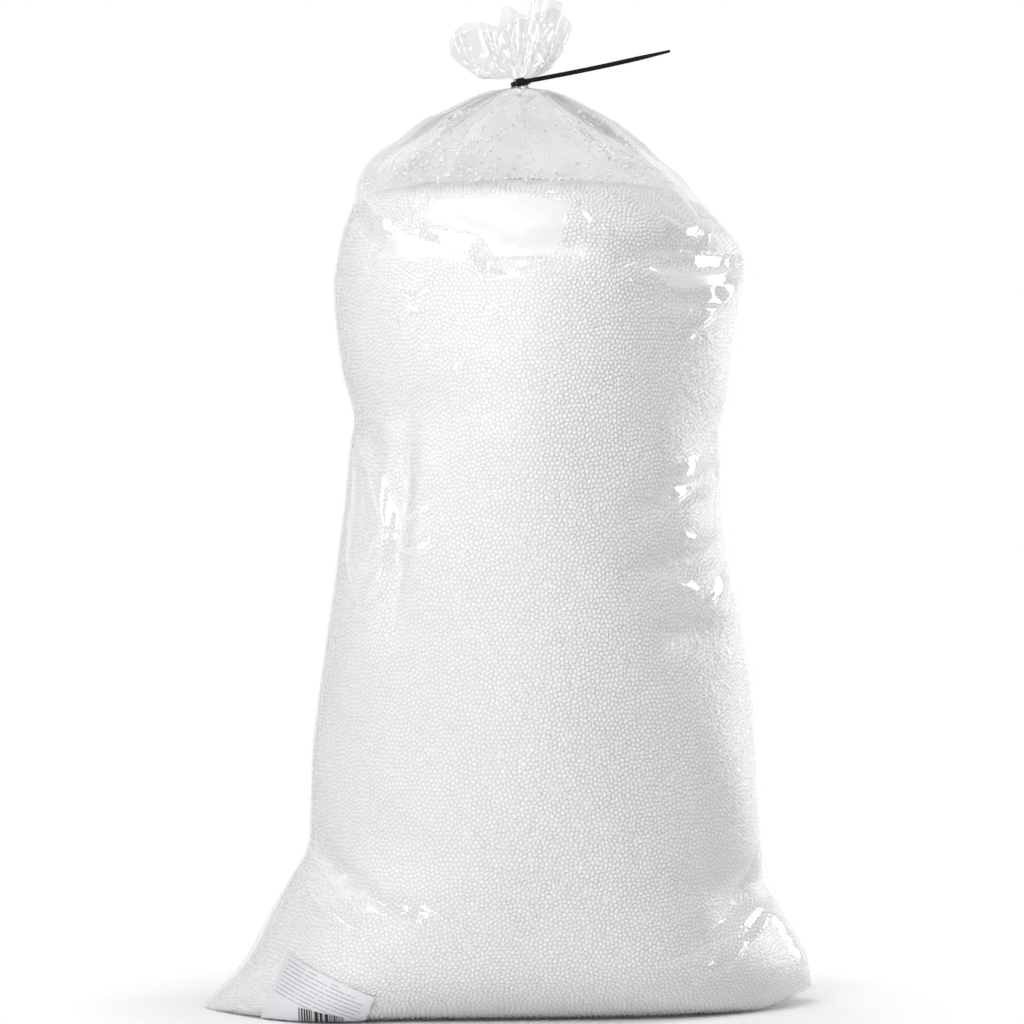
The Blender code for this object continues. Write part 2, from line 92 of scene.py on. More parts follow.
PINCHED_PLEATS = 0.22
COLLAR_PLEATS = 0.20
PLEATS = 11

# Shares of the tie's height where the film starts to gather, gathers more and meets the tie
CONE_START = 0.830
CONE_NARROWS = 0.90
NECK_LEANS = 0.93
NECK_START = 0.99

# The lowest that a bead reaches
FLOOR_CLEARANCE = 0.0003

# Power of the rounding of the filling's top, and how far apart rows of close-packed beads are
CAP_POWER = 0.8
HEXAGON = math.sqrt(3.0) / 2.0

# The value lift of film that has no beads behind it
EMPTY_LIFT = 0.01

# The camera, which also says where the film's creases are
CAMERA_DISTANCE = 4.2
CAMERA_HEIGHT = 0.517
FOCAL_PIXELS = 4000.0
PICTURE_SIDE = 1024.0
SENSOR_WIDTH = 36.0

# Place of a piece's map in its unit square, and small lengths
MAP_MARGIN = 0.01
MAP_SPAN = 0.98
TINY = 1e-9
MILLIMETRE = 0.001

WHITE: Tint = (1.0, 1.0, 1.0)

# Outline rows: share of the tie's height, left reach, right reach, depth, pointedness
OUTLINE = (
    (0.0, 1.02, 1.012, 0.87, 1.55),
    (0.046, 0.89, 0.985, 0.895, 1.45),
    (0.093, 0.809, 0.912, 0.908, 1.3),
    (0.134, 0.736, 0.836, 0.912, 1.14),
    (0.17, 0.673, 0.83, 0.915, 1.03),
    (0.212, 0.658, 0.822, 0.92, 0.98),
    (0.294, 0.641, 0.802, 0.93, 0.94),
    (0.413, 0.612, 0.753, 0.955, 0.92),
    (0.491, 0.572, 0.709, 0.985, 0.92),
    (0.548, 0.538, 0.697, 1.0, 0.92),
    (0.608, 0.519, 0.689, 1.008, 0.92),
    (0.634, 0.511, 0.698, 1.005, 0.92),
    (0.655, 0.525, 0.712, 1.002, 0.92),
    (0.68, 0.551, 0.722, 1.0, 0.92),
    (0.723, 0.573, 0.732, 0.985, 0.93),
    (0.775, 0.587, 0.752, 0.965, 0.94),
    (0.81, 0.573, 0.76, 0.95, 0.95),
    (0.839, 0.553, 0.706, 0.925, 0.96),
    (0.873, 0.522, 0.612, 0.85, 0.98),
    (0.899, 0.504, 0.546, 0.74, 1.0),
    (0.92, 0.454, 0.472, 0.62, 1.0),
    (0.94, 0.37, 0.398, 0.505, 1.0),
    (0.96, 0.296, 0.298, 0.375, 1.0),
    (0.975, 0.196, 0.212, 0.25, 1.0),
    (0.986, 0.128, 0.158, 0.15, 1.0),
)

# The ruffle's open end: angle, reach to the right, reach to the back, height
MOUTH = (
    (0.0, 0.62, 0.0, 0.681),
    (20.0, 0.595, 0.33, 0.73),
    (45.0, 0.484, 0.75, 0.924),
    (70.0, 0.288, 1.0, 0.947),
    (90.0, 0.08, 0.62, 0.8),
    (110.0, -0.105, 1.0, 0.842),
    (130.0, -0.29, 0.6, 0.655),
    (150.0, -0.547, 0.75, 0.69),
    (168.0, -0.793, 0.38, 0.561),
    (180.0, -0.891, 0.0, 0.361),
    (200.0, -0.793, -0.33, 0.632),
    (215.0, -0.67, -0.58, 0.722),
    (232.0, -0.425, -0.75, 0.716),
    (247.0, -0.265, -0.42, 0.694),
    (256.0, -0.216, -0.83, 0.915),
    (270.0, -0.068, -1.0, 0.877),
    (283.0, 0.08, -0.6, 0.816),
    (291.0, 0.129, -0.92, 0.964),
    (305.0, 0.276, -1.0, 1.0),
    (330.0, 0.473, -0.6, 0.975),
    (350.0, 0.582, -0.21, 0.779),
)

# Broad folds that press film and beads in: two ends as (angle, height), half width, depth
FOLDS = (
    ((228.0, 0.4), (222.0, 0.615), 0.018, 0.012),
    ((294.0, 0.776), (350.0, 0.782), 0.017, 0.017),
    ((300.0, 0.738), (338.0, 0.728), 0.015, 0.008),
    ((302.0, 0.52), (345.0, 0.56), 0.016, 0.01),
    ((300.0, 0.455), (340.0, 0.48), 0.016, 0.01),
    ((306.0, 0.385), (340.0, 0.4), 0.016, 0.007),
    ((192.0, 0.6), (216.0, 0.575), 0.015, 0.006),
    ((194.0, 0.165), (238.0, 0.105), 0.016, 0.011),
    ((338.0, 0.135), (306.0, 0.075), 0.016, 0.011),
    ((232.0, 0.83), (262.0, 0.775), 0.016, 0.01),
    ((262.0, 0.775), (284.0, 0.78), 0.016, 0.01),
    ((198.0, 0.815), (226.0, 0.775), 0.016, 0.009),
    ((150.0, 0.64), (115.0, 0.56), 0.016, 0.008),
    ((30.0, 0.6), (66.0, 0.54), 0.016, 0.009),
    ((100.0, 0.78), (140.0, 0.765), 0.015, 0.009),
    ((40.0, 0.795), (80.0, 0.77), 0.015, 0.008),
    ((25.0, 0.17), (62.0, 0.085), 0.015, 0.009),
    ((152.0, 0.175), (118.0, 0.09), 0.015, 0.008),
    ((75.0, 0.35), (105.0, 0.42), 0.018, 0.006),
)

# The top of the cone, where the outline ends
CONE_TOP = OUTLINE[-1][0] * TIE_HEIGHT


def smoothstep(low: float, high: float, value: Array) -> Array:
    """0 below low, 1 above high and a smooth rise between them."""
    share = np.clip((value - low) / (high - low), 0.0, 1.0)
    return share * share * (3.0 - 2.0 * share)


def lengths(vectors: Array) -> Array:
    """The lengths of the vectors."""
    return np.linalg.norm(vectors, axis=-1)


def unit(vectors: Array) -> Array:
    """The vectors at length 1."""
    return vectors / np.maximum(lengths(vectors)[..., None], 1e-12)


def running(steps: Array) -> Array:
    """0, and then the sum of the steps so far."""
    return np.concatenate([[0.0], np.cumsum(steps)])


def ring_angles(count: int) -> Array:
    """Even angles once round the bag, from the middle of its back."""
    return 0.5 * math.pi + np.arange(count) / count * 2.0 * math.pi


def roll_height(turn: float) -> float:
    """How high the rolled bottom edge is, a turn up from the floor."""
    return BASE_ROLL * (1.0 - math.cos(turn))


def seen_at(points: Array) -> tuple[Array, Array]:
    """Where the camera sees the points.

    Args:
        points: places in the model's frame.

    Returns:
        How far across and how far down they are in the picture, in pixels.
    """
    scale = FOCAL_PIXELS / (CAMERA_DISTANCE + points[..., 1])
    across = PICTURE_SIDE / 2.0 + points[..., 0] * scale
    down = PICTURE_SIDE / 2.0 - (points[..., 2] - CAMERA_HEIGHT) * scale
    return across, down


# Shape of the bag


class BagShape:
    """The bag's smooth outer shape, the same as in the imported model.

    An angle is 0 on the right and a quarter turn at the back. A height is above the floor.
    """

    def __init__(self) -> None:
        """Keeps the outline as an array."""
        self.table = np.array(OUTLINE)

    def outline(self, height: Array) -> tuple[Array, Array, Array, Array]:
        """The size of the level sections, on a smooth curve through the outline's rows.

        Args:
            height: one height for each section.

        Returns:
            Left reach, right reach, half depth and pointedness.
        """
        table = self.table
        last = len(table) - 1
        share = np.clip(height / TIE_HEIGHT, 0.0, table[-1, 0])
        upper = np.clip(np.searchsorted(table[:, 0], share), 1, last)
        rows = [table[np.clip(upper + k, 0, last)] for k in (-2, -1, 0, 1)]
        span = rows[2][:, :1] - rows[1][:, :1]
        part = (share[:, None] - rows[1][:, :1]) / span
        start, end = rows[1][:, 1:], rows[2][:, 1:]
        rise_a = (rows[2][:, 1:] - rows[0][:, 1:]) / (rows[2][:, :1] - rows[0][:, :1]) * span
        rise_b = (rows[3][:, 1:] - rows[1][:, 1:]) / (rows[3][:, :1] - rows[1][:, :1]) * span
        cubic = 2.0 * start - 2.0 * end + rise_a + rise_b
        square = -3.0 * start + 3.0 * end - 2.0 * rise_a - rise_b
        values = ((cubic * part + square) * part + rise_a) * part + start
        half = EAR_SPAN / 2.0
        return values[:, 0] * half, values[:, 1] * half, values[:, 2] * BODY_DEPTH / 2.0, values[:, 3]

    @staticmethod
    def pleat_wave(angle: Array) -> Array:
        """From -1 in a valley to 1 on a ridge of the gathered film, unevenly spaced."""
        return np.cos(PLEATS * angle + 0.9 * np.sin(2.0 * angle + 0.5) + 0.5 * np.sin(3.0 * angle))

    @staticmethod
    def pleat_depth(height: Array) -> Array:
        """Depth of the pleats as a share of the radius: none on the body, deep at the neck."""
        share = height / TIE_HEIGHT
        cone = CONE_PLEATS * smoothstep(CONE_START, CONE_NARROWS, share)
        return cone + NECK_PLEATS * smoothstep(CONE_NARROWS, NECK_START, share)

    @staticmethod
    def fold_depth(angle: Array, height: Array, outer: Array) -> Array:
        """How far the broad folds press in.

        Args:
            angle: one for each point.
            height: one for each point.
            outer: the wall's distance from the axis at each point.

        Returns:
            The depth at each point.
        """
        total = np.zeros_like(angle)
        for (angle_a, height_a), (angle_b, height_b), width, depth in FOLDS:
            along_x = math.radians(angle_b - angle_a) * outer
            along_y = height_b - height_a
            away = (angle - math.radians(angle_a) + math.pi) % (2.0 * math.pi) - math.pi
            from_x, from_y = away * outer, height - height_a
            share = (from_x * along_x + from_y * along_y) / (along_x**2 + along_y**2)
            clipped = np.clip(share, 0.0, 1.0)
            distance = np.hypot(from_x - clipped * along_x, from_y - clipped * along_y)
            total += depth * np.sin(np.pi * (0.12 + 0.76 * clipped)) * np.exp(-((distance / width) ** 2))
        return total

    @staticmethod
    def lumps(angle: Array, height: Array) -> Array:
        """The slack and swell of the body.

        Args:
            angle: one for each point.
            height: one for each point.

        Returns:
            How far each point is moved outwards.
        """
        swell = SWELLS[0] * np.sin(3.0 * angle + 9.0 * height) * np.sin(11.0 * height + 1.0)
        slack = SWELLS[1] * np.sin(5.0 * angle - 17.0 * height + 2.0)
        fine = SWELLS[2] * np.sin(8.0 * angle + 26.0 * height)
        fade = smoothstep(0.02, 0.12, height) * (1.0 - smoothstep(0.80, 0.90, height / TIE_HEIGHT))
        return (swell + slack + fine) * fade

    @staticmethod
    def half_section(angle: Array, pointed: Array) -> Array:
        """How far a section bulges to the front or back.

        Args:
            angle: one for each point.
            pointed: 1 for an ellipse, more for a section that is pointed at its sides.

        Returns:
            The bulge as a share of the half depth, towards the back where it is positive.
        """
        fullness = 2.0 + 2.2 * (pointed - 1.0)
        bulge = np.maximum(1.0 - np.abs(np.cos(angle)) ** fullness, 0.0) ** (pointed / 2.0)
        return np.copysign(bulge, np.sin(angle))

    @staticmethod
    def settled(x: Array, y: Array, z: Array, height: Array) -> Array:
        """The points with the swell beside the left ear and the turn of the bag's bottom.

        Args:
            x: places to the right.
            y: places to the back.
            z: places upwards.
            height: the heights that swell and turn go by.

        Returns:
            The points, one row each.
        """
        low = 1.0 - smoothstep(0.0, FOOT_SWELL_HEIGHT, height)
        beside = (x - FOOT_SWELL_X) / FOOT_SWELL_WIDTH
        y = y - FOOT_SWELL * np.exp(-(beside**2)) * low * smoothstep(0.0, 0.03, -y)
        turn = BASE_TURN * (1.0 - smoothstep(0.0, BASE_TURN_HEIGHT, height))
        cos, sin = np.cos(turn), np.sin(turn)
        return np.stack([x * cos - y * sin, x * sin + y * cos, z], axis=-1)

    def wall(self, angle: Array, height: Array, inset: float = 0.0, ear_inset: float = 0.0) -> Array:
        """Points of the wall.

        Args:
            angle: one for each point.
            height: one for each point.
            inset: how far inside the film.
            ear_inset: the same at the tips of the ears.

        Returns:
            The points, one row each.
        """
        left, right, depth, pointed = self.outline(height)
        centre = (right - left) / 2.0
        half = (right + left) / 2.0
        raised = EAR_LIFT * smoothstep(0.0, EAR_LIFT_LENGTH, half * np.cos(angle) + centre - CONTACT_RIGHT)
        ear = smoothstep(1.05, 1.40, pointed)
        half = half - inset - (ear_inset - inset) * ear
        gone = np.maximum(BASE_ROLL - height, 0.0)
        depth = depth - (BASE_ROLL - np.sqrt(np.maximum(BASE_ROLL**2 - gone**2, 0.0))) - inset
        cosine = np.cos(angle)
        x, y = half * cosine, depth * self.half_section(angle, pointed)
        outer = np.hypot(x, y)
        pressed = self.fold_depth(angle, height, outer) * (1.0 - 0.8 * ear * np.abs(cosine) ** 6)
        scale = (outer - pressed + self.lumps(angle, height)) / outer
        scale = scale * (1.0 - self.pleat_depth(height) * (1.0 - self.pleat_wave(angle)))
        centre = centre + (NECK_X - centre) * smoothstep(NECK_LEANS, NECK_START, height / TIE_HEIGHT)
        raised = raised * (1.0 - smoothstep(0.0, 0.10, height))
        return self.settled(x * scale + centre, y * scale, height + raised, height)

    def ring(self, angle: Array, height: float, inset: float = 0.0, ear_inset: float = 0.0) -> Array:
        """Points of the wall at one height."""
        return self.wall(angle, np.full_like(angle, height), inset, ear_inset)

    def contact(self, angle: Array, inset: float, share: float = 1.0) -> Array:
        """Points of the flat underside.

        Args:
            angle: one for each point.
            inset: how far inside the film.
            share: of the way from the underside's middle to its edge.

        Returns:
            The points, one row each.
        """
        _, _, depth, pointed = self.outline(np.zeros_like(angle))
        centre = (CONTACT_RIGHT - CONTACT_LEFT) / 2.0
        half = (CONTACT_RIGHT + CONTACT_LEFT) / 2.0 - inset
        deep = depth - BASE_ROLL - inset
        flat = np.zeros_like(angle)
        x = centre + half * np.cos(angle) * share
        return self.settled(x, deep * self.half_section(angle, pointed) * share, flat, flat)

    def neck(self, angle: Array, share: float) -> Array:
        """Points of the gathered neck.

        Args:
            angle: one for each point.
            share: 0 at the top of the cone and 1 in the tie's middle.

        Returns:
            The points, one row each.
        """
        low = TIE_HEIGHT - NECK_HALF_LENGTH
        wave = 1.0 - self.pleat_wave(angle)
        collar = COLLAR_RADIUS * (1.0 - COLLAR_PLEATS * wave)
        pinch = NECK_RADIUS * (1.0 - PINCHED_PLEATS * wave)
        rings = [self.ring(angle, CONE_TOP)]
        for radius, height in ((collar, low - COLLAR_DROP), (pinch, low), (pinch, TIE_HEIGHT)):
            x = NECK_X + radius * np.cos(angle)
            rings.append(np.stack([x, radius * np.sin(angle), np.full_like(angle, height)], axis=-1))
        knots = (0.0, 0.40, 0.72, 1.0)
        span = max(i for i in range(len(knots) - 1) if share >= knots[i])
        part = (share - knots[span]) / (knots[span + 1] - knots[span])
        return rings[span] * (1.0 - part) + rings[span + 1] * part

    @staticmethod
    def mouth(angle: Array) -> Array:
        """Points of the ruffle's open end, on a smooth curve through the rows of its table.

        Args:
            angle: one for each point, round the neck.

        Returns:
            The points, one row each.
        """
        table = np.array(MOUTH)
        count = len(table)
        turn = np.degrees(angle) % 360.0
        lower = np.searchsorted(table[:, 0], turn, side="right") - 1
        rows = [table[(lower + k) % count] for k in (-1, 0, 1, 2)]
        span = (rows[2][:, 0] - rows[1][:, 0]) % 360.0
        part = ((turn - rows[1][:, 0]) / span)[:, None]
        before, start, end, after = (row[:, 1:] for row in rows)
        values = start + (end - start) * part + part * (1.0 - part) * 0.25 * (start + end - before - after)
        x = NECK_X + values[:, 0] * RUFFLE_HEIGHT
        return np.stack([x, values[:, 1] * RUFFLE_DEPTH, TIE_HEIGHT + values[:, 2] * RUFFLE_HEIGHT], axis=-1)

    def ruffle(self, angle: Array, share: float) -> Array:
        """Points of the open ruffle above the tie.

        Args:
            angle: one for each point, round the neck.
            share: of the way from the tie to the open end.

        Returns:
            The points, one row each.
        """
        wave = self.pleat_wave(angle)
        radius = NECK_RADIUS * (1.0 - PINCHED_PLEATS * (1.0 - wave))
        base_height = np.full_like(angle, TIE_HEIGHT + NECK_HALF_LENGTH)
        start = np.stack([NECK_X + radius * np.cos(angle), radius * np.sin(angle), base_height], axis=-1)
        left = smoothstep(0.3, 1.0, -np.cos(angle))
        right = smoothstep(0.3, 1.0, np.cos(angle))
        whole = self.mouth(angle) - start
        outwards = (share ** (0.9 - 0.25 * right - 0.30 * left))[:, None]
        upwards = (share ** (1.0 + 0.2 * right + 1.3 * left))[:, None]
        stand = RUFFLE_PLEAT * wave * smoothstep(0.0, 0.35, share) * (1.0 - 0.5 * share)
        way = unit(np.stack([0.5 * np.cos(angle), np.sin(angle), np.zeros_like(angle)], axis=-1))
        moved = np.concatenate([whole[:, :2] * outwards, whole[:, 2:] * upwards], axis=1)
        return start + moved + way * stand[:, None]


# Creases of the film


@dataclass(frozen=True)
class Crease:
    """A crease that lifts the film off the beads, placed as the camera sees it.

    Its path and half width are in pixels of the picture and its height is in millimetres. lean
    moves the crest across, from -1 to 1, which makes one flank steeper than the other.
    """

    path: tuple[Point, ...]
    width: float
    height: float
    lean: float = 0.0
    taper: float = 0.7
    rounding: float = 0.2
    pointed_ends: float = 0.75

    def lift(self, across: Array, down: Array) -> Array:
        """How far the crease lifts the film.

        Args:
            across: places to the right in the picture, in pixels.
            down: places down from its upper edge.

        Returns:
            The lift at each place, in metres.
        """
        nodes = np.array(self.path, float)
        reach = self.width * 1.2
        low, high = nodes.min(axis=0) - reach, nodes.max(axis=0) + reach
        near = (across > low[0]) & (across < high[0]) & (down > low[1]) & (down < high[1])
        result = np.zeros_like(across)
        if near.any():
            side, share = self.measured(nodes, across[near], down[near])
            thin = np.sin(np.pi * np.clip(share, 0.0, 1.0)) ** self.taper
            room = self.width * (1.0 - self.pointed_ends + self.pointed_ends * thin)
            result[near] = self.height * MILLIMETRE * self.profile(side / np.maximum(room, 1e-6)) * thin
        return result

    @staticmethod
    def measured(nodes: Array, across: Array, down: Array) -> tuple[Array, Array]:
        """Where places are beside the crease.

        Args:
            nodes: the crease's path.
            across: places to the right in the picture, in pixels.
            down: places down from its upper edge.

        Returns:
            The distance to the path, negative on one side of it, and the share of its length.
        """
        sides = np.hypot(*np.diff(nodes, axis=0).T)
        run = running(sides) / sides.sum()
        best = np.full(across.shape, 1e9)
        side = np.zeros_like(across)
        share = np.zeros_like(across)
        for i in range(len(sides)):
            ax, ay = nodes[i]
            bx, by = nodes[i + 1] - nodes[i]
            t = np.clip(((across - ax) * bx + (down - ay) * by) / (bx * bx + by * by), 0.0, 1.0)
            dx, dy = across - ax - t * bx, down - ay - t * by
            distance = np.hypot(dx, dy)
            closer = distance < best
            best = np.where(closer, distance, best)
            side = np.where(closer, np.sign(bx * dy - by * dx), side)
            share = np.where(closer, run[i] + t * (run[i + 1] - run[i]), share)
        return best * side, share

    def profile(self, offset: Array) -> Array:
        """The crease's section: 1 at the crest and 0 from the foot on, which is at -1 and 1."""
        rising, falling = (1.0 + offset) / (1.0 + self.lean), (1.0 - offset) / (1.0 - self.lean)
        tent = np.clip(np.where(offset < self.lean, rising, falling), 0.0, 1.0)
        return (1.0 - self.rounding) * tent + self.rounding * tent * tent * (3.0 - 2.0 * tent)


@dataclass(frozen=True)
class Panel:
    """A patch of film that stands off the beads on a flat top, placed as the camera sees it.

    Its corners and the width of its edge are in pixels, and its height is in millimetres.
    """

    corners: tuple[Point, ...]
    height: float
    edge: float = 7.0

    def lift(self, across: Array, down: Array) -> Array:
        """How far the panel lifts the film.

        Args:
            across: places to the right in the picture, in pixels.
            down: places down from its upper edge.

        Returns:
            The lift at each place, in metres.
        """
        nodes = np.array(self.corners, float)
        inside = np.zeros(across.shape, bool)
        best = np.full(across.shape, 1e9)
        for i in range(len(nodes)):
            (ax, ay), (bx, by) = nodes[i], nodes[(i + 1) % len(nodes)]
            crosses = (ay > down) != (by > down)
            slope = (bx - ax) * (down - ay) / np.where(abs(by - ay) < TINY, TINY, by - ay) + ax
            inside ^= crosses & (across < slope)
            dx, dy = bx - ax, by - ay
            t = np.clip(((across - ax) * dx + (down - ay) * dy) / (dx * dx + dy * dy), 0.0, 1.0)
            best = np.minimum(best, np.hypot(across - ax - t * dx, down - ay - t * dy))
        rise = np.clip(best / self.edge, 0.0, 1.0)
        return np.where(inside, self.height * MILLIMETRE * rise * (2.0 - rise), 0.0)


FRONT_CREASES: tuple[Crease, ...] = (
    # the empty cone
    Crease(((507, 96), (492, 118), (470, 148), (450, 182)), 15, 7, 0.35),
    Crease(((520, 92), (522, 130), (512, 176)), 13, 5),
    Crease(((500, 92), (452, 122), (402, 170)), 16, 6, -0.3),
    Crease(((530, 92), (560, 125), (585, 180), (600, 215)), 15, 6, 0.3),
    Crease(((535, 92), (600, 130), (665, 190), (705, 232)), 15, 6, -0.3),
    Crease(((540, 90), (610, 118), (690, 176)), 12, 4),
    Crease(((515, 95), (540, 150), (548, 190)), 12, 4, 0.3),
    # the shoulder's folds
    Crease(((366, 191), (392, 216), (371, 264)), 13, 7, 0.5),
    Crease(((432, 192), (415, 232), (474, 244), (488, 270), (560, 260)), 13, 7, -0.55),
    Crease(((488, 270), (520, 272), (560, 262)), 7, 2.5),
    Crease(((500, 182), (530, 194), (572, 182)), 9, 3.5, 0.3),
    Crease(((575, 190), (590, 210), (622, 245)), 11, 4, 0.4),
    Crease(((655, 215), (680, 236), (712, 220)), 10, 4, -0.4),
    Crease(((712, 218), (705, 245), (690, 262)), 8, 4),
    # the pinched fold on the right
    Crease(((624, 268), (655, 259), (690, 263), (742, 262)), 11, 9, -0.45),
    Crease(((628, 278), (670, 296), (715, 297), (744, 268)), 14, 10, 0.5),
    Crease(((686, 330), (700, 320), (716, 308)), 9, 5.5, 0.4),
    Crease(((674, 344), (686, 338), (696, 334)), 6, 2.5),
    # the middle
    Crease(((395, 288), (412, 300), (428, 288)), 10, 4.5),
    Crease(((412, 296), (410, 320), (406, 340)), 11, 4.5),
    Crease(((478, 308), (500, 308)), 9, 2.2),
    Crease(((460, 358), (458, 378)), 7, 1.6),
    Crease(((405, 520), (418, 514), (430, 506)), 6, 2),
    Crease(((400, 552), (424, 549), (438, 538)), 7, 2.4),
    Crease(((440, 560), (455, 559), (468, 552)), 6, 1.8),
    Crease(((350, 590), (372, 560), (392, 520)), 10, 3.5),
    # the left lens
    Crease(((356, 430), (376, 470), (390, 520), (388, 570), (362, 618)), 12, 4.5, 0.4),
    Crease(((356, 440), (358, 500), (352, 560), (360, 612)), 9, 3),
    # the right's wrinkles
    Crease(((655, 476), (680, 472), (702, 456)), 10, 6, 0.5),
    Crease(((645, 492), (668, 496), (692, 486)), 10, 5.5, 0.5),
    Crease(((640, 575), (670, 580), (700, 588)), 10, 5, 0.5),
    Crease(((660, 532), (685, 536), (706, 548)), 8, 2.4),
    Crease(((712, 428), (722, 450), (716, 480)), 9, 3.5),
    Crease(((700, 610), (720, 590), (727, 560)), 8, 3),
    # the bottom left
    Crease(((309, 845), (325, 868), (343, 888), (387, 909), (446, 938)), 9, 7, -0.5),
    Crease(((308, 881), (330, 905), (355, 930)), 9, 6, 0.5),
    Crease(((340, 876), (356, 880), (372, 888)), 7, 3),
    Crease(((388, 908), (420, 912), (450, 922)), 8, 5, 0.5),
    Crease(((236, 1002), (252, 1014)), 5, 2),
    # the bottom right
    Crease(((700, 945), (735, 925), (762, 900)), 12, 9, 0.45),
    Crease(((745, 945), (758, 925), (770, 898)), 9, 8, 0.4),
    Crease(((690, 985), (722, 962), (752, 930)), 11, 5.5, 0.5),
    Crease(((650, 968), (690, 952), (722, 940)), 10, 3),
    Crease(((765, 905), (790, 935), (806, 968)), 9, 3),
)

FRONT_PANELS: tuple[Panel, ...] = (
    Panel(((436, 196), (418, 230), (474, 242), (490, 266), (560, 258), (575, 200), (520, 190)), 2.6),
    Panel(((396, 218), (376, 262), (468, 262), (470, 246), (412, 234)), 1.8),
    Panel(((640, 262), (690, 268), (738, 268), (712, 292), (668, 292)), 3, 9),
)

# The back's creases, placed as if the camera saw them through the bag
BACK_CREASES: tuple[Crease, ...] = (
    Crease(((515, 95), (470, 140), (430, 196)), 16, 6, 0.3),
    Crease(((522, 95), (530, 150), (540, 210)), 15, 6, -0.3),
    Crease(((530, 95), (590, 150), (640, 215)), 16, 6, 0.3),
    Crease(((500, 95), (430, 130), (380, 180)), 13, 5),
    Crease(((400, 230), (450, 262), (520, 250), (560, 268)), 12, 5, 0.3),
    Crease(((590, 290), (650, 272), (712, 280)), 12, 6, -0.3),
    Crease(((380, 330), (430, 352), (470, 346)), 10, 3.5),
    Crease(((610, 470), (660, 492), (700, 480)), 11, 4.5, 0.3),
    Crease(((370, 560), (420, 548), (470, 566)), 10, 4, -0.3),
    Crease(((600, 640), (650, 628), (700, 640)), 10, 3),
    Crease(((330, 850), (380, 880), (450, 890)), 12, 5, 0.3),
    Crease(((620, 930), (690, 900), (750, 870)), 12, 5.5, -0.3),
    Crease(((640, 970), (700, 945), (770, 925)), 10, 4),
    Crease(((290, 930), (350, 940), (420, 930)), 10, 3.5),
    Crease(((500, 720), (540, 735), (600, 725)), 9, 2),
)


@dataclass(frozen=True)
class Ripples:
    """A random field of gentle ripples with one wavelength."""

    wavelength: float
    seed: int
    waves: int = 14

    def at(self, points: Array) -> Array:
        """The field at the points, mostly between -1 and 1.

        Args:
            points: places in the model's frame.

        Returns:
            The field at each point.
        """
        random = np.random.default_rng(self.seed)
        total = np.zeros(points.shape[:-1])
        for _ in range(self.waves):
            way = unit(random.normal(size=3))
            pitch = 2.0 * math.pi / (self.wavelength * random.uniform(0.7, 1.4))
            total += np.sin(points @ way * pitch + random.uniform(0.0, 2.0 * math.pi))
        return total / math.sqrt(self.waves / 2.0)


# Meshes


@dataclass
class MeshParts:
    """The points, faces, map and values that a new mesh is made of."""

    points: Array
    faces: Array
    uv: Array
    values: dict[str, Array] = field(default_factory=dict)

    def build(self, name: str, material: Material) -> Object:
        """Makes a smooth object, whose map is named OFBake.

        Args:
            name: of the object and its mesh.
            material: its finish.

        Returns:
            The object, which is in the scene.
        """
        size = self.faces.shape[1]
        mesh = bpy.data.meshes.new(name)
        mesh.vertices.add(len(self.points))
        mesh.vertices.foreach_set("co", self.points.astype(np.float32).ravel())
        mesh.loops.add(self.faces.size)
        mesh.loops.foreach_set("vertex_index", self.faces.astype(np.int32).ravel())
        mesh.polygons.add(len(self.faces))
        mesh.polygons.foreach_set("loop_start", np.arange(0, self.faces.size, size, dtype=np.int32))
        mesh.update(calc_edges=True)
        corners = self.uv if len(self.uv) == self.faces.size else self.uv[self.faces.ravel()]
        store_map(mesh, corners)
        for key, value in self.values.items():
            store_value(mesh, key, value)
        mesh.validate()
        return smooth_object(name, mesh, material)


def store_map(mesh: bpy.types.Mesh, corners: Array) -> None:
    """Gives the mesh the map OFBake, with one place for each corner of its faces."""
    layer = mesh.uv_layers.new(name="OFBake")
    layer.data.foreach_set("uv", corners.astype(np.float32).ravel())


def store_value(mesh: bpy.types.Mesh, name: str, value: Array) -> None:
    """Gives every point of the mesh a named value."""
    mesh.attributes.new(name, "FLOAT", "POINT").data.foreach_set("value", value.astype(np.float32))


def linked(name: str, data: bpy.types.ID) -> Object:
    """A new object in the scene for a mesh, lamp or camera."""
    item = bpy.data.objects.new(name, data)
    bpy.context.scene.collection.objects.link(item)
    return item


def smooth_object(name: str, mesh: bpy.types.Mesh, material: Material) -> Object:
    """The mesh as a smooth object with a material."""
    mesh.shade_smooth()
    mesh.materials.append(material)
    return linked(name, mesh)


def as_mesh(name: str, draft: Draft) -> bpy.types.Mesh:
    """Ends a draft and hands back its mesh."""
    mesh = bpy.data.meshes.new(name)
    draft.to_mesh(mesh)
    draft.free()
    return mesh


def grid_faces(rows: int, columns: int) -> Array:
    """Triangles of a grid of points that closes round its columns, cut on alternating diagonals.

    Args:
        rows: how many rows the grid has.
        columns: how many points a row has.

    Returns:
        Three numbers of points for each triangle.
    """
    row, column = np.meshgrid(np.arange(rows - 1), np.arange(columns), indexing="ij")
    row, column = row.ravel(), column.ravel()
    beside = (column + 1) % columns
    a, b = row * columns + column, row * columns + beside
    c, d = (row + 1) * columns + beside, (row + 1) * columns + column
    even = ((row + column) % 2 == 0)[:, None]
    one = np.where(even, np.stack([a, b, c], axis=1), np.stack([a, b, d], axis=1))
    two = np.where(even, np.stack([a, c, d], axis=1), np.stack([b, c, d], axis=1))
    return np.concatenate([one, two])


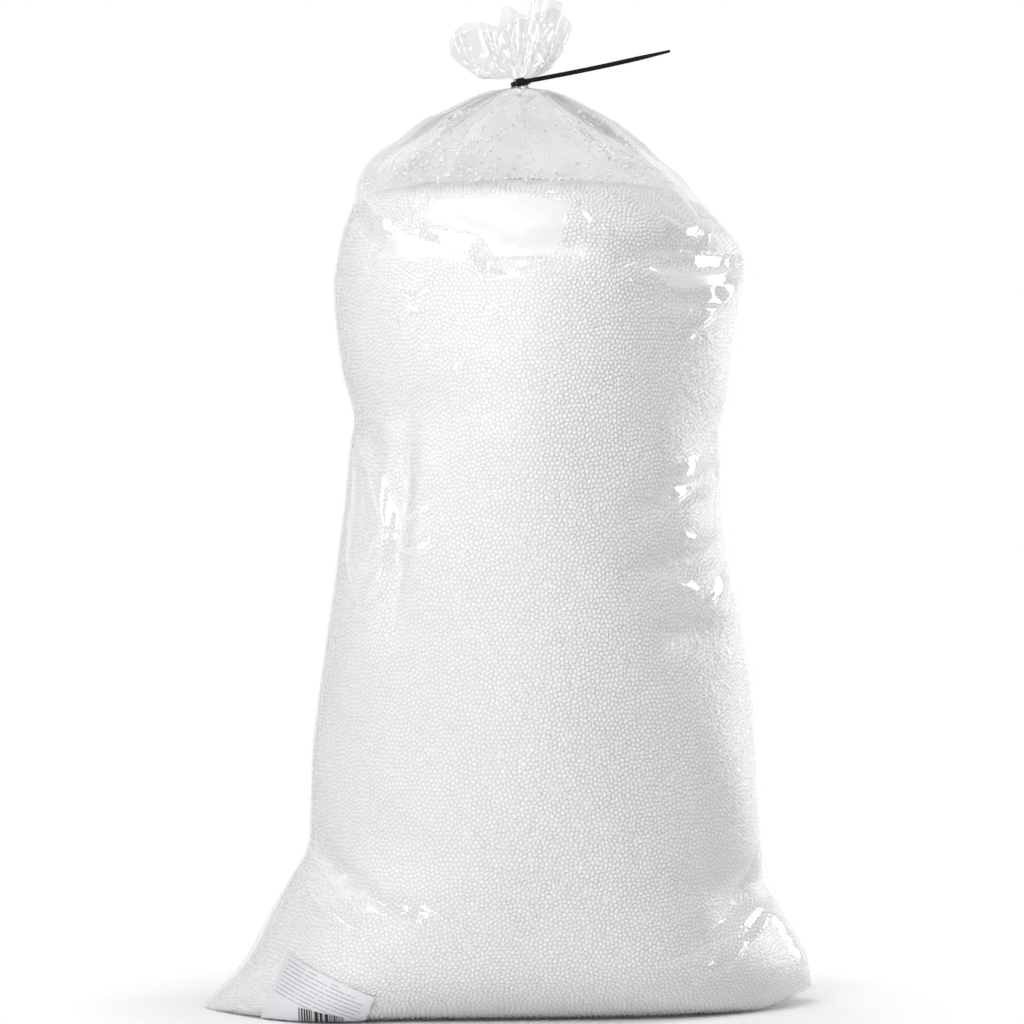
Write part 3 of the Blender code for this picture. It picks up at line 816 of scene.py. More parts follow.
def grid_map(faces: Array, rows: int, columns: int) -> Array:
    """The map of a grid that closes round its columns, with its seam where they start.

    Args:
        faces: the grid's triangles.
        rows: how many rows the grid has.
        columns: how many points a row has.

    Returns:
        A place for each corner of the faces.
    """
    corner = faces.ravel()
    u = (corner % columns) / columns
    v = (corner // columns) / (rows - 1)
    wraps = np.repeat((faces % columns).max(axis=1) - (faces % columns).min(axis=1) > columns // 2, 3)
    u = np.where(wraps & (u < 0.5), u + 1.0, u)
    return np.stack([MAP_MARGIN + MAP_SPAN * u, MAP_MARGIN + MAP_SPAN * v], axis=1)


def grid_parts(grid: Array, values: dict[str, Array] | None = None) -> MeshParts:
    """The parts of a mesh over a grid of points that closes round its columns.

    Args:
        grid: the points, in rows.
        values: named values of the points, in the same rows.

    Returns:
        The parts, with triangles and a map.
    """
    rows, columns = grid.shape[:2]
    faces = grid_faces(rows, columns)
    flat = {key: value.ravel() for key, value in (values or {}).items()}
    return MeshParts(grid.reshape(-1, 3), faces, grid_map(faces, rows, columns), flat)


def outward_normals(grid: Array) -> Array:
    """Outward normals of a grid that closes round its columns."""
    wrapped = np.concatenate([grid[:, -1:], grid, grid[:, :1]], axis=1)
    return unit(np.cross(wrapped[:, 2:] - wrapped[:, :-2], np.gradient(grid, axis=0)))


# Nodes


Operand = Union["Value", float, int]
Feed = Union[Operand, Sequence[float]]


@dataclass(frozen=True)
class Value:
    """A socket of a node, with arithmetic that adds Math nodes."""

    nodes: Nodes
    socket: bpy.types.NodeSocket | None

    def _math(self, operation: str, *others: Operand, first: Operand | None = None) -> Value:
        """A Math node with this value, or with first before it."""
        operands = ([first] if first is not None else []) + [self, *others]
        return self.nodes.add("ShaderNodeMath", {"operation": operation}, dict(enumerate(operands)))

    def __add__(self, other: Operand) -> Value:
        """The sum."""
        return self._math("ADD", other)

    def __sub__(self, other: Operand) -> Value:
        """The difference."""
        return self._math("SUBTRACT", other)

    def __rsub__(self, other: Operand) -> Value:
        """The difference from a number."""
        return self._math("SUBTRACT", first=other)

    def __mul__(self, other: Operand) -> Value:
        """The product."""
        return self._math("MULTIPLY", other)

    def __truediv__(self, other: Operand) -> Value:
        """The quotient."""
        return self._math("DIVIDE", other)

    def __pow__(self, exponent: Operand) -> Value:
        """This value to a power."""
        return self._math("POWER", exponent)

    __radd__ = __add__
    __rmul__ = __mul__

    def above(self, limit: Operand) -> Value:
        """1 where this value is above the limit, otherwise 0."""
        return self._math("GREATER_THAN", limit)

    def within(self, low: float, high: float) -> Value:
        """1 between the two limits, otherwise 0."""
        return self.above(low) * (1.0 - self.above(high))

    def fraction(self) -> Value:
        """What is behind the decimal point."""
        return self._math("FRACT")

    def floor(self) -> Value:
        """The whole number below this value."""
        return self._math("FLOOR")

    def highest(self, other: Operand) -> Value:
        """The larger of the two."""
        return self._math("MAXIMUM", other)

    def mapped(self, low: float, high: float, to_low: float = 0.0, to_high: float = 1.0) -> Value:
        """This value carried from one range to another, held at the ends."""
        feeds = {0: self, 1: low, 2: high, 3: to_low, 4: to_high}
        return self.nodes.add("ShaderNodeMapRange", {"clamp": True}, feeds)


class Nodes:
    """A tree of shader nodes, and the ways to add nodes to it."""

    def __init__(self, tree: bpy.types.NodeTree) -> None:
        """Takes the tree and empties it."""
        self.tree = tree
        self.tree.nodes.clear()

    def add(
        self,
        kind: str,
        settings: dict[str, object] | None = None,
        feeds: dict[str | int, Feed] | None = None,
        output: str | int = 0,
    ) -> Value:
        """Adds a node.

        Args:
            kind: the node's type.
            settings: properties to set on it, and the stops of a ramp.
            feeds: values or links for its inputs, by name or number.
            output: which output to hand back.

        Returns:
            The chosen output.
        """
        made = self.tree.nodes.new(kind)
        for key, value in (settings or {}).items():
            if key == "stops":
                self._set_stops(made.color_ramp, value)
            else:
                setattr(made, key, value)
        for key, value in (feeds or {}).items():
            self._feed(made.inputs[key], value)
        return Value(self, made.outputs[output] if len(made.outputs) else None)

    def _feed(self, socket: bpy.types.NodeSocket, value: Feed) -> None:
        """Links an input or sets it. A colour of three numbers is made solid.

        Args:
            socket: the input.
            value: a link, a number or a colour.
        """
        if isinstance(value, Value):
            self.tree.links.new(value.socket, socket)
        elif isinstance(value, tuple) and len(value) < len(socket.default_value):
            socket.default_value = (*value, 1.0)
        else:
            socket.default_value = value

    @staticmethod
    def _set_stops(ramp: bpy.types.ColorRamp, stops: Sequence[Point]) -> None:
        """Gives a ramp steps of grey.

        Args:
            ramp: the node's ramp.
            stops: position and level of each step.
        """
        ramp.interpolation = "CONSTANT"
        while len(ramp.elements) < len(stops):
            ramp.elements.new(1.0)
        for k, (position, level) in enumerate(stops):
            ramp.elements[k].position = position
            ramp.elements[k].color = (level, level, level, 1.0)

    def attribute(self, name: str) -> Value:
        """A value that is stored on the mesh."""
        return self.add("ShaderNodeAttribute", {"attribute_name": name}, output="Fac")

    def object_place(self) -> Value:
        """The place in the object's frame, in metres."""
        return self.add("ShaderNodeTexCoord", output="Object")

    def ray(self, kind: str) -> Value:
        """1 for rays of a kind, otherwise 0."""
        return self.add("ShaderNodeLightPath", output=kind)

    def part(self, vector: Value, axis: str) -> Value:
        """One coordinate of a place."""
        return self.add("ShaderNodeSeparateXYZ", feeds={0: vector}, output=axis)

    def noise(self, place: Value, per_metre: float, detail: float = 3.0) -> Value:
        """Soft noise with so many cells to the metre."""
        return self.add("ShaderNodeTexNoise", feeds={"Vector": place, "Scale": per_metre, "Detail": detail})

    def flat_noise(self, x: Value, y: Operand = 0.0, detail: float = 0.0) -> Value:
        """Soft noise that changes with one or two values."""
        return self.noise(self.add("ShaderNodeCombineXYZ", feeds={0: x, 1: y}), 1.0, detail)

    def cells(self, place: Value, per_metre: float) -> Value:
        """How far the nearest cell's middle is, with so many cells to the metre."""
        feeds = {"Vector": place, "Scale": per_metre}
        return self.add("ShaderNodeTexVoronoi", {"feature": "F1"}, feeds, "Distance")

    def steps(self, share: Value, levels: Sequence[float], ahead: float = 0.01) -> Value:
        """A value that changes in equal steps, each of which starts a little ahead of its place."""
        stops = [(max(k / len(levels) - ahead, 0.0), level) for k, level in enumerate(levels)]
        return self.add("ShaderNodeValToRGB", {"stops": stops}, {0: share})

    def tint(self, share: Operand, one: Value | Tint, two: Value | Tint) -> Value:
        """A colour between two."""
        return self.add("ShaderNodeMix", {"data_type": "RGBA"}, {0: share, 6: one, 7: two}, 2)

    def blend(self, share: Operand, one: Value, two: Value) -> Value:
        """A shader between two."""
        return self.add("ShaderNodeMixShader", feeds={0: share, 1: one, 2: two})

    def bump(self, height: Value, distance: float, strength: float = 1.0) -> Value:
        """A normal that follows a height, in metres."""
        feeds = {"Height": height, "Distance": distance, "Strength": strength}
        return self.add("ShaderNodeBump", feeds=feeds)


class Finish(Nodes):
    """A material and its nodes."""

    def __init__(self, name: str) -> None:
        """Starts a material with an empty tree."""
        self.material = bpy.data.materials.new(name)
        self.material.use_nodes = True
        super().__init__(self.material.node_tree)

    def shaded(self, shader: Value) -> Material:
        """Ends the tree with a shader and hands back the material."""
        self.add("ShaderNodeOutputMaterial", feeds={"Surface": shader})
        return self.material

    def plain(self, colour: Value, roughness: Operand, specular: float, normal: Value) -> Material:
        """Ends the tree with a solid surface.

        Args:
            colour: of the surface.
            roughness: 0 is a mirror.
            specular: strength of the reflection.
            normal: with the finest relief.

        Returns:
            The material.
        """
        feeds = {"Base Color": colour, "Roughness": roughness, "Normal": normal}
        feeds["Specular IOR Level"] = specular
        return self.shaded(self.add("ShaderNodeBsdfPrincipled", feeds=feeds))


@dataclass(frozen=True)
class FilmFinish:
    """Clear polyethylene: light passes straight through, and both faces reflect."""

    face_on: float = 0.04
    edge_power: float = 5.0
    smooth: float = 0.05
    rough: float = 0.36
    satin: float = 0.34
    # How strongly painted glow whitens the taut panels
    painted_glow_share: float = 0.27
    broken: float = 0.60
    clear_tint: Tint = (0.985, 0.987, 0.988)
    hazy_tint: Tint = (0.865, 0.870, 0.874)
    plain_tint: Tint = (0.93, 0.93, 0.93)
    # White of the film's own haze in the empty cone, and of the painted glow on taut panels
    haze_and_painted_glow: Tint = (0.95, 0.95, 0.95)
    haze: Point = (0.02, 0.24)
    resting_lift: Point = (0.0004, 0.0012)
    beads_per_metre: float = 205.0
    bead_relief: float = 1.1
    crinkle_relief: float = 0.35
    relief: float = 0.0009
    relief_strength: float = 0.8

    def build(self) -> Material:
        """Makes the material.

        Returns:
            The film's material, which goes by the values empty, lift and taut of the mesh.
        """
        finish = Finish("clear_film")
        resting = 1.0 - finish.attribute("lift").mapped(*self.resting_lift)
        taut = finish.attribute("taut")
        normal = self.normal(finish, resting)
        roughness = resting.mapped(0.0, 1.0, self.smooth, self.rough).highest(taut * self.satin)
        feeds = {"Roughness": roughness, "Normal": normal, "Color": WHITE}
        gloss = finish.add("ShaderNodeBsdfAnisotropic", feeds=feeds)
        whole = finish.blend(self.mirrored(finish, normal, resting), self.body(finish, taut), gloss)
        plain = finish.add("ShaderNodeBsdfTransparent", feeds={"Color": self.plain_tint})
        passes = finish.ray("Is Shadow Ray").highest(finish.ray("Is Diffuse Ray"))
        return finish.shaded(finish.blend(passes, whole, plain))

    def normal(self, finish: Finish, resting: Value) -> Value:
        """The normal with the beads' print, where the film rests on them, and fine crinkles.

        Args:
            finish: the material's nodes.
            resting: 1 where the film lies on beads.

        Returns:
            The normal.
        """
        place = finish.object_place()
        beads = finish.cells(place, self.beads_per_metre)
        crinkle = finish.noise(place, 70.0)
        height = beads * resting * self.bead_relief + crinkle * self.crinkle_relief
        return finish.bump(height, self.relief, self.relief_strength)

    def mirrored(self, finish: Finish, normal: Value, resting: Value) -> Value:
        """The share of light that the film's two faces reflect.

        Args:
            finish: the material's nodes.
            normal: of the film.
            resting: 1 where the film lies on beads, which break its reflection up.

        Returns:
            The share, which rises towards the edges.
        """
        facing = finish.add("ShaderNodeLayerWeight", feeds={"Blend": 0.5, "Normal": normal}, output="Facing")
        single = facing**self.edge_power * (1.0 - self.face_on) + self.face_on
        return (single * 2.0) / (single + 1.0) * (1.0 - resting * self.broken)

    def body(self, finish: Finish, taut: Value) -> Value:
        """What is seen through the film: clear on beads, hazy where empty, and a painted glow where taut.

        Args:
            finish: the material's nodes.
            taut: 1 where a panel is taut.

        Returns:
            The shader.
        """
        empty = finish.attribute("empty")
        clear = finish.add("ShaderNodeBsdfTransparent", feeds={"Color": self.clear_tint})
        hazy = finish.add("ShaderNodeBsdfTransparent", feeds={"Color": self.hazy_tint})
        haze_and_painted_glow = finish.add("ShaderNodeBsdfDiffuse", feeds={"Color": self.haze_and_painted_glow})
        cloud = finish.noise(finish.object_place(), 15.0).mapped(0.42, 0.66, *self.haze)
        # In the empty cone the white is the film's own haze; on taut panels it is painted glow
        white = (empty * cloud).highest(taut * self.painted_glow_share)
        return finish.blend(white, finish.blend(empty, clear, hazy), haze_and_painted_glow)


@dataclass(frozen=True)
class BeadFinish:
    """Expanded polystyrene: white, nearly matt, with fine cells and painted shade between the beads."""

    colour: Tint = (0.93, 0.93, 0.922)
    dull: Tint = (0.89, 0.89, 0.88)
    # shaded is painted shade: the grey that the gaps between the beads are darkened to
    shaded: Tint = (0.66, 0.66, 0.65)
    gap_shade_power: float = 1.4
    roughness: Point = (0.48, 0.62)
    specular: float = 0.35
    cells_per_metre: float = 2600.0

    def build(self) -> Material:
        """Makes the material.

        Returns:
            The beads' material, which goes by the value rim of the mesh.
        """
        finish = Finish("polystyrene_beads")
        place = finish.object_place()
        tone = finish.noise(place, 160.0, 2.0).mapped(0.35, 0.65)
        # The value rim says how deep a point lies between the beads and darkens the colour there as painted
        # shade
        rim = finish.attribute("rim") ** self.gap_shade_power
        colour = finish.tint(rim, finish.tint(tone, self.colour, self.dull), self.shaded)
        relief = finish.bump(finish.cells(place, self.cells_per_metre), 0.00006, 0.4)
        return finish.plain(colour, tone.mapped(0.0, 1.0, *self.roughness), self.specular, relief)


@dataclass(frozen=True)
class NylonFinish:
    """Black moulded nylon with a satin gloss."""

    colour: Tint = (0.0035, 0.0035, 0.004)
    worn: Tint = (0.007, 0.007, 0.0075)
    roughness: Point = (0.26, 0.42)
    specular: float = 0.12

    def build(self) -> Material:
        """Makes the material.

        Returns:
            The nylon's material.
        """
        finish = Finish("black_nylon")
        place = finish.object_place()
        smear = finish.noise(place, 180.0, 4.0)
        relief = finish.bump(finish.noise(place, 2400.0, 2.0), 0.00003, 0.5)
        roughness = smear.mapped(0.3, 0.7, *self.roughness)
        return finish.plain(finish.tint(smear, self.colour, self.worn), roughness, self.specular, relief)


@dataclass(frozen=True)
class PaperFinish:
    """A satin label with plain printed bars in place of words.

    Places along and down the label are in metres. The bar code's reach, top and slant are in the
    model's frame, where its bars are upright.
    """

    paper: Tint = (0.68, 0.685, 0.715)
    ink: Tint = (0.16, 0.16, 0.18)
    black: Tint = (0.012, 0.012, 0.014)
    ink_strength: float = 0.6
    row_pitch: float = 0.0041
    first_row: float = 0.0022
    row_band: Point = (0.34, 0.60)
    margin: float = 0.0035
    row_lengths: tuple[float, ...] = (0.21, 0.77, 0.88, 0.86, 0.88, 0.84, 0.90, 0.70, 0.52)
    full_row: float = 0.1
    words_per_metre: float = 330.0
    dashes: tuple[tuple[Point, Point], ...] = (
        ((0.028, 0.038), (0.0035, 0.0046)),
        ((0.054, 0.062), (0.0040, 0.0050)),
    )
    code_reach: Point = (-0.2162, -0.1695)
    code_top: float = 0.0172
    code_slant: float = 0.2077
    bars_per_metre: float = 1150.0
    roughness: float = 0.42
    specular: float = 0.4

    def build(self) -> Material:
        """Makes the material.

        Returns:
            The label's material, which goes by the values along and down of the mesh.
        """
        finish = Finish("printed_label")
        place = finish.object_place()
        paper = finish.tint(self.text(finish) * self.ink_strength, self.paper, self.ink)
        colour = finish.tint(self.code(finish, place), paper, self.black)
        relief = finish.bump(finish.noise(place, 900.0), 0.00004, 0.4)
        return finish.plain(colour, self.roughness, self.specular, relief)

    def text(self, finish: Finish) -> Value:
        """The print: rows of broken bars, with two dashes above them.

        Args:
            finish: the material's nodes.

        Returns:
            1 on the print, otherwise 0.
        """
        along, down = finish.attribute("along"), finish.attribute("down")
        count = float(len(self.row_lengths))
        row = (down - self.first_row) / self.row_pitch
        number = row.floor()
        lines = row.fraction().within(*self.row_band) * row.within(0.0, count)
        letters = finish.flat_noise(along * self.words_per_metre, number * 7.3, 1.0)
        length = finish.steps(number / count, self.row_lengths) * self.full_row
        text = lines * letters.above(0.40) * (1.0 - along.above(length + self.margin))
        text = text * along.above(self.margin)
        dashes = [along.within(*reach) * down.within(*band) for reach, band in self.dashes]
        return text.highest(dashes[0] + dashes[1])

    def code(self, finish: Finish, place: Value) -> Value:
        """The bars of the bar code.

        Args:
            finish: the material's nodes.
            place: in the model's frame.

        Returns:
            1 on a bar, otherwise 0.
        """
        across, height = finish.part(place, "X"), finish.part(place, "Z")
        bars = finish.flat_noise(across * self.bars_per_metre).above(0.49)
        under = 1.0 - (height + (across - self.code_reach[0]) * self.code_slant).above(self.code_top)
        return bars * across.within(*self.code_reach) * under


@dataclass(frozen=True)
class FloorFinish:
    """A white floor that shows a shadow near the bag and fades into the white behind it."""

    near: float = 0.28
    far: float = 0.46
    colour: Tint = (0.93, 0.93, 0.93)

    def build(self) -> Material:
        """Makes the material.

        Returns:
            The floor's material.
        """
        finish = Finish("white_floor")
        place = finish.object_place()
        distance = finish.add("ShaderNodeVectorMath", {"operation": "LENGTH"}, {0: place}, "Value")
        relief = finish.bump(finish.noise(place, 40.0), 0.0002)
        diffuse = finish.add("ShaderNodeBsdfDiffuse", feeds={"Color": self.colour, "Normal": relief})
        white = finish.add("ShaderNodeEmission", feeds={"Color": WHITE, "Strength": 1.0})
        seen = finish.ray("Is Camera Ray").highest(finish.ray("Is Glossy Ray"))
        shown = distance.mapped(self.near, self.far) * seen.highest(finish.ray("Is Transmission Ray"))
        return finish.shaded(finish.blend(shown, diffuse, white))


# Pieces


@dataclass
class Film:
    """The bag's film, with its fine creases."""

    shape: BagShape
    columns: int = 440
    wall_step: float = 0.0023
    front_share: float = 2.1
    split_height: float = 0.46
    measured: tuple[Point, ...] = ((0.45, 0.6), (0.05, 0.4))
    base_shares: tuple[float, ...] = (0.002, 0.35, 0.7, 1.0)
    roll_turns: tuple[float, float, int] = (9.0, 90.0, 14)
    neck_rings: int = 8
    broad: Ripples = Ripples(0.075, 3)
    middling: Ripples = Ripples(0.034, 5)
    fine: Ripples = Ripples(0.017, 8)
    crumples: Triple = (0.0009, 0.0005, 0.00006)
    foot_fade: float = 0.012
    empty_from: float = FILL_SHOULDER - 0.004
    empty_to: float = FILL_SHOULDER + 0.022

    def column_angles(self) -> Array:
        """Spaces the columns by the wall's girth at the measured heights, each with its weight.

        Returns:
            Their angles from the middle of the back, closer together in front.
        """
        turn = np.linspace(0.5 * math.pi, 2.5 * math.pi, 2001)
        steps = np.zeros(len(turn) - 1)
        for height, weight in self.measured:
            steps += weight * lengths(np.diff(self.shape.ring(turn, height), axis=0))
        middle = (turn[1:] + turn[:-1]) / 2.0
        density = 1.0 + (self.front_share - 1.0) * smoothstep(-0.25, 0.35, -np.sin(middle))
        run = running(steps * density)
        return np.interp(np.arange(self.columns) / self.columns * run[-1], run, turn)

    def base_points(self, angles: Array) -> Array:
        """The grid of points before creasing.

        Args:
            angles: of the columns.

        Returns:
            Rows of points from the middle of the underside to the tie.
        """
        rows = [self.shape.contact(angles, 0.0, share) for share in self.base_shares]
        for turn in np.radians(np.linspace(*self.roll_turns)):
            rows.append(self.shape.ring(angles, roll_height(turn)))
        count = int((CONE_TOP - BASE_ROLL) / self.wall_step)
        for height in np.linspace(BASE_ROLL, CONE_TOP, count)[1:]:
            rows.append(self.shape.ring(angles, height))
        for share in np.linspace(0.0, 1.0, self.neck_rings + 1)[1:]:
            rows.append(self.shape.neck(angles, share))
        return np.array(rows)

    @staticmethod
    def raised(grid: Array, normals: Array) -> tuple[Array, Array]:
        """Lifts the film by its panels and creases.

        Args:
            grid: the points before creasing.
            normals: outward normals there.

        Returns:
            How far every point is lifted, and 1 where a panel is taut.
        """
        across, down = seen_at(grid)
        ahead = smoothstep(0.02, 0.40, -normals[..., 1])
        behind = smoothstep(0.02, 0.40, normals[..., 1])
        lift = np.zeros_like(across)
        taut = np.zeros_like(across)
        for panel in FRONT_PANELS:
            height = panel.lift(across, down) * ahead
            taut = np.maximum(taut, height / MILLIMETRE / panel.height)
            lift = np.maximum(lift, height)
        for crease in FRONT_CREASES:
            height = crease.lift(across, down) * ahead
            taut = np.where(height > lift, taut * 0.3, taut)
            lift = np.maximum(lift, height)
        for crease in BACK_CREASES:
            lift = np.maximum(lift, crease.lift(across, down) * behind)
        return lift, taut

    def slack(self, grid: Array) -> Array:
        """The crumples and crinkles of the film, which are stronger on the cone.

        Args:
            grid: the points before creasing.

        Returns:
            How far every point is lifted.
        """
        height = grid[..., 2]
        cone = smoothstep(0.815, 0.875, height)
        held = smoothstep(0.0, 0.03, height) * (1.0 - smoothstep(0.945, 0.958, height))
        broad = 1.0 - np.abs(self.broad.at(grid))
        middling = 1.0 - np.abs(self.middling.at(grid))
        crumple = self.crumples[0] * np.clip(broad, 0.0, 1.0) ** 2
        crumple = crumple + self.crumples[1] * np.clip(middling, 0.0, 1.0) ** 2
        return (crumple * (0.35 + 0.9 * cone) + self.crumples[2] * (self.fine.at(grid) + 1.0)) * held

    def build(self, material: Material) -> list[Object]:
        """Makes the film from the floor to the tie.

        Args:
            material: the film's finish.

        Returns:
            Its lower part and its upper part.
        """
        grid = self.base_points(self.column_angles())
        normals = outward_normals(grid)
        lift, taut = self.raised(grid, normals)
        lift = lift + self.slack(grid)
        grid = grid + normals * (lift * smoothstep(0.0, self.foot_fade, grid[..., 2]))[..., None]
        empty = smoothstep(self.empty_from, self.empty_to, grid[..., 2])
        values = {"empty": empty, "lift": lift + EMPTY_LIFT * empty, "taut": taut}
        middle = int(np.searchsorted(grid[..., 2].mean(axis=1), self.split_height))
        made = []
        for name, rows in (("film_low", slice(0, middle + 1)), ("film_high", slice(middle, None))):
            chosen = {key: value[rows] for key, value in values.items()}
            made.append(grid_parts(grid[rows], chosen).build(name, material))
        return made


@dataclass
class Ruffle:
    """The open end of the film above the tie."""

    shape: BagShape
    columns: int = 440
    rows: int = 56
    sharp: Ripples = Ripples(0.030, 21)
    small: Ripples = Ripples(0.014, 22)
    sharp_height: float = 0.0013
    small_height: float = 0.0006
    gather_height: float = 0.0012
    gather_count: float = 27.0

    def build(self, material: Material) -> Object:
        """Makes the ruffle.

        Args:
            material: the film's finish.

        Returns:
            The ruffle, from the tie's middle to the open end.
        """
        angles = ring_angles(self.columns)
        shares = np.linspace(0.0, 1.0, self.rows)
        rows = [self.shape.neck(angles, 1.0)] + [self.shape.ruffle(angles, share) for share in shares]
        grid = np.array(rows)
        share = np.concatenate([[0.0], shares])[:, None]
        sharp = 1.0 - np.abs(self.sharp.at(grid))
        small = 1.0 - np.abs(self.small.at(grid))
        crumple = self.sharp_height * np.clip(sharp, -0.5, 1.0)
        crumple = crumple + self.small_height * np.clip(small, -0.5, 1.0)
        wave = np.cos(self.gather_count * angles + 1.5 * np.sin(4.0 * angles))
        gathers = self.gather_height * wave[None, :] * (1.0 - share)
        calm = 1.0 - 0.8 * smoothstep(0.50, 0.90, share)
        lift = (crumple * calm + gathers) * smoothstep(0.02, 0.35, share)
        grid = grid + outward_normals(grid) * lift[..., None]
        values = {"empty": np.ones_like(lift), "lift": np.full_like(lift, EMPTY_LIFT)}
        return grid_parts(grid, values).build("film_ruffle", material)


@dataclass
class BeadSheet:
    """A smooth surface that beads lie on, as a grid of points with the film's shape.

    On it u runs once round from the middle of the back, and v is metres up along the wall.
    """

    grid: Array
    around: Array = field(init=False)
    heights: Array = field(init=False)
    normals: Array = field(init=False)
    metric: Array = field(init=False)

    def __post_init__(self) -> None:
        """Spreads the points evenly round each row and measures the rows."""
        even = []
        for row in self.grid:
            closed = np.vstack([row, row[:1]])
            run = running(lengths(np.diff(closed, axis=0)))
            places = np.arange(len(row)) / len(row) * run[-1]
            even.append(np.stack([np.interp(places, run, closed[:, k]) for k in range(3)], axis=1))
        self.grid = np.array(even)
        self.around = lengths(np.roll(self.grid, -1, axis=1) - self.grid).sum(axis=1)
        self.heights = running(lengths(np.diff(self.grid, axis=0)).mean(axis=1))
        self.normals = outward_normals(self.grid)
        columns = self.grid.shape[1]
        du = (np.roll(self.grid, -1, axis=1) - np.roll(self.grid, 1, axis=1)) * columns / 2.0
        dv = np.gradient(self.grid, self.heights, axis=0)
        self.metric = np.stack([(du * du).sum(-1), (du * dv).sum(-1), (dv * dv).sum(-1)], axis=-1)

    def sample(self, table: Array, places: Array) -> Array:
        """Values between the points of the grid.

        Args:
            table: values at its points.
            places: u and v, one row each.

        Returns:
            The values at the places.
        """
        rows, columns = self.grid.shape[:2]
        x = (places[:, 0] % 1.0) * columns
        low_x = np.floor(x).astype(int) % columns
        high_x = (low_x + 1) % columns
        part_x = (x - np.floor(x))[:, None]
        y = np.interp(places[:, 1], self.heights, np.arange(rows))
        low_y = np.clip(np.floor(y).astype(int), 0, rows - 2)
        part_y = (y - low_y)[:, None]
        lower = table[low_y, low_x] * (1.0 - part_x) + table[low_y, high_x] * part_x
        upper = table[low_y + 1, low_x] * (1.0 - part_x) + table[low_y + 1, high_x] * part_x
        return lower * (1.0 - part_y) + upper * part_y

    def held(self, places: Array) -> Array:
        """The places with u between 0 and 1 and v on the sheet."""
        return np.stack([places[:, 0] % 1.0, np.clip(places[:, 1], 0.0, self.heights[-1])], axis=1)


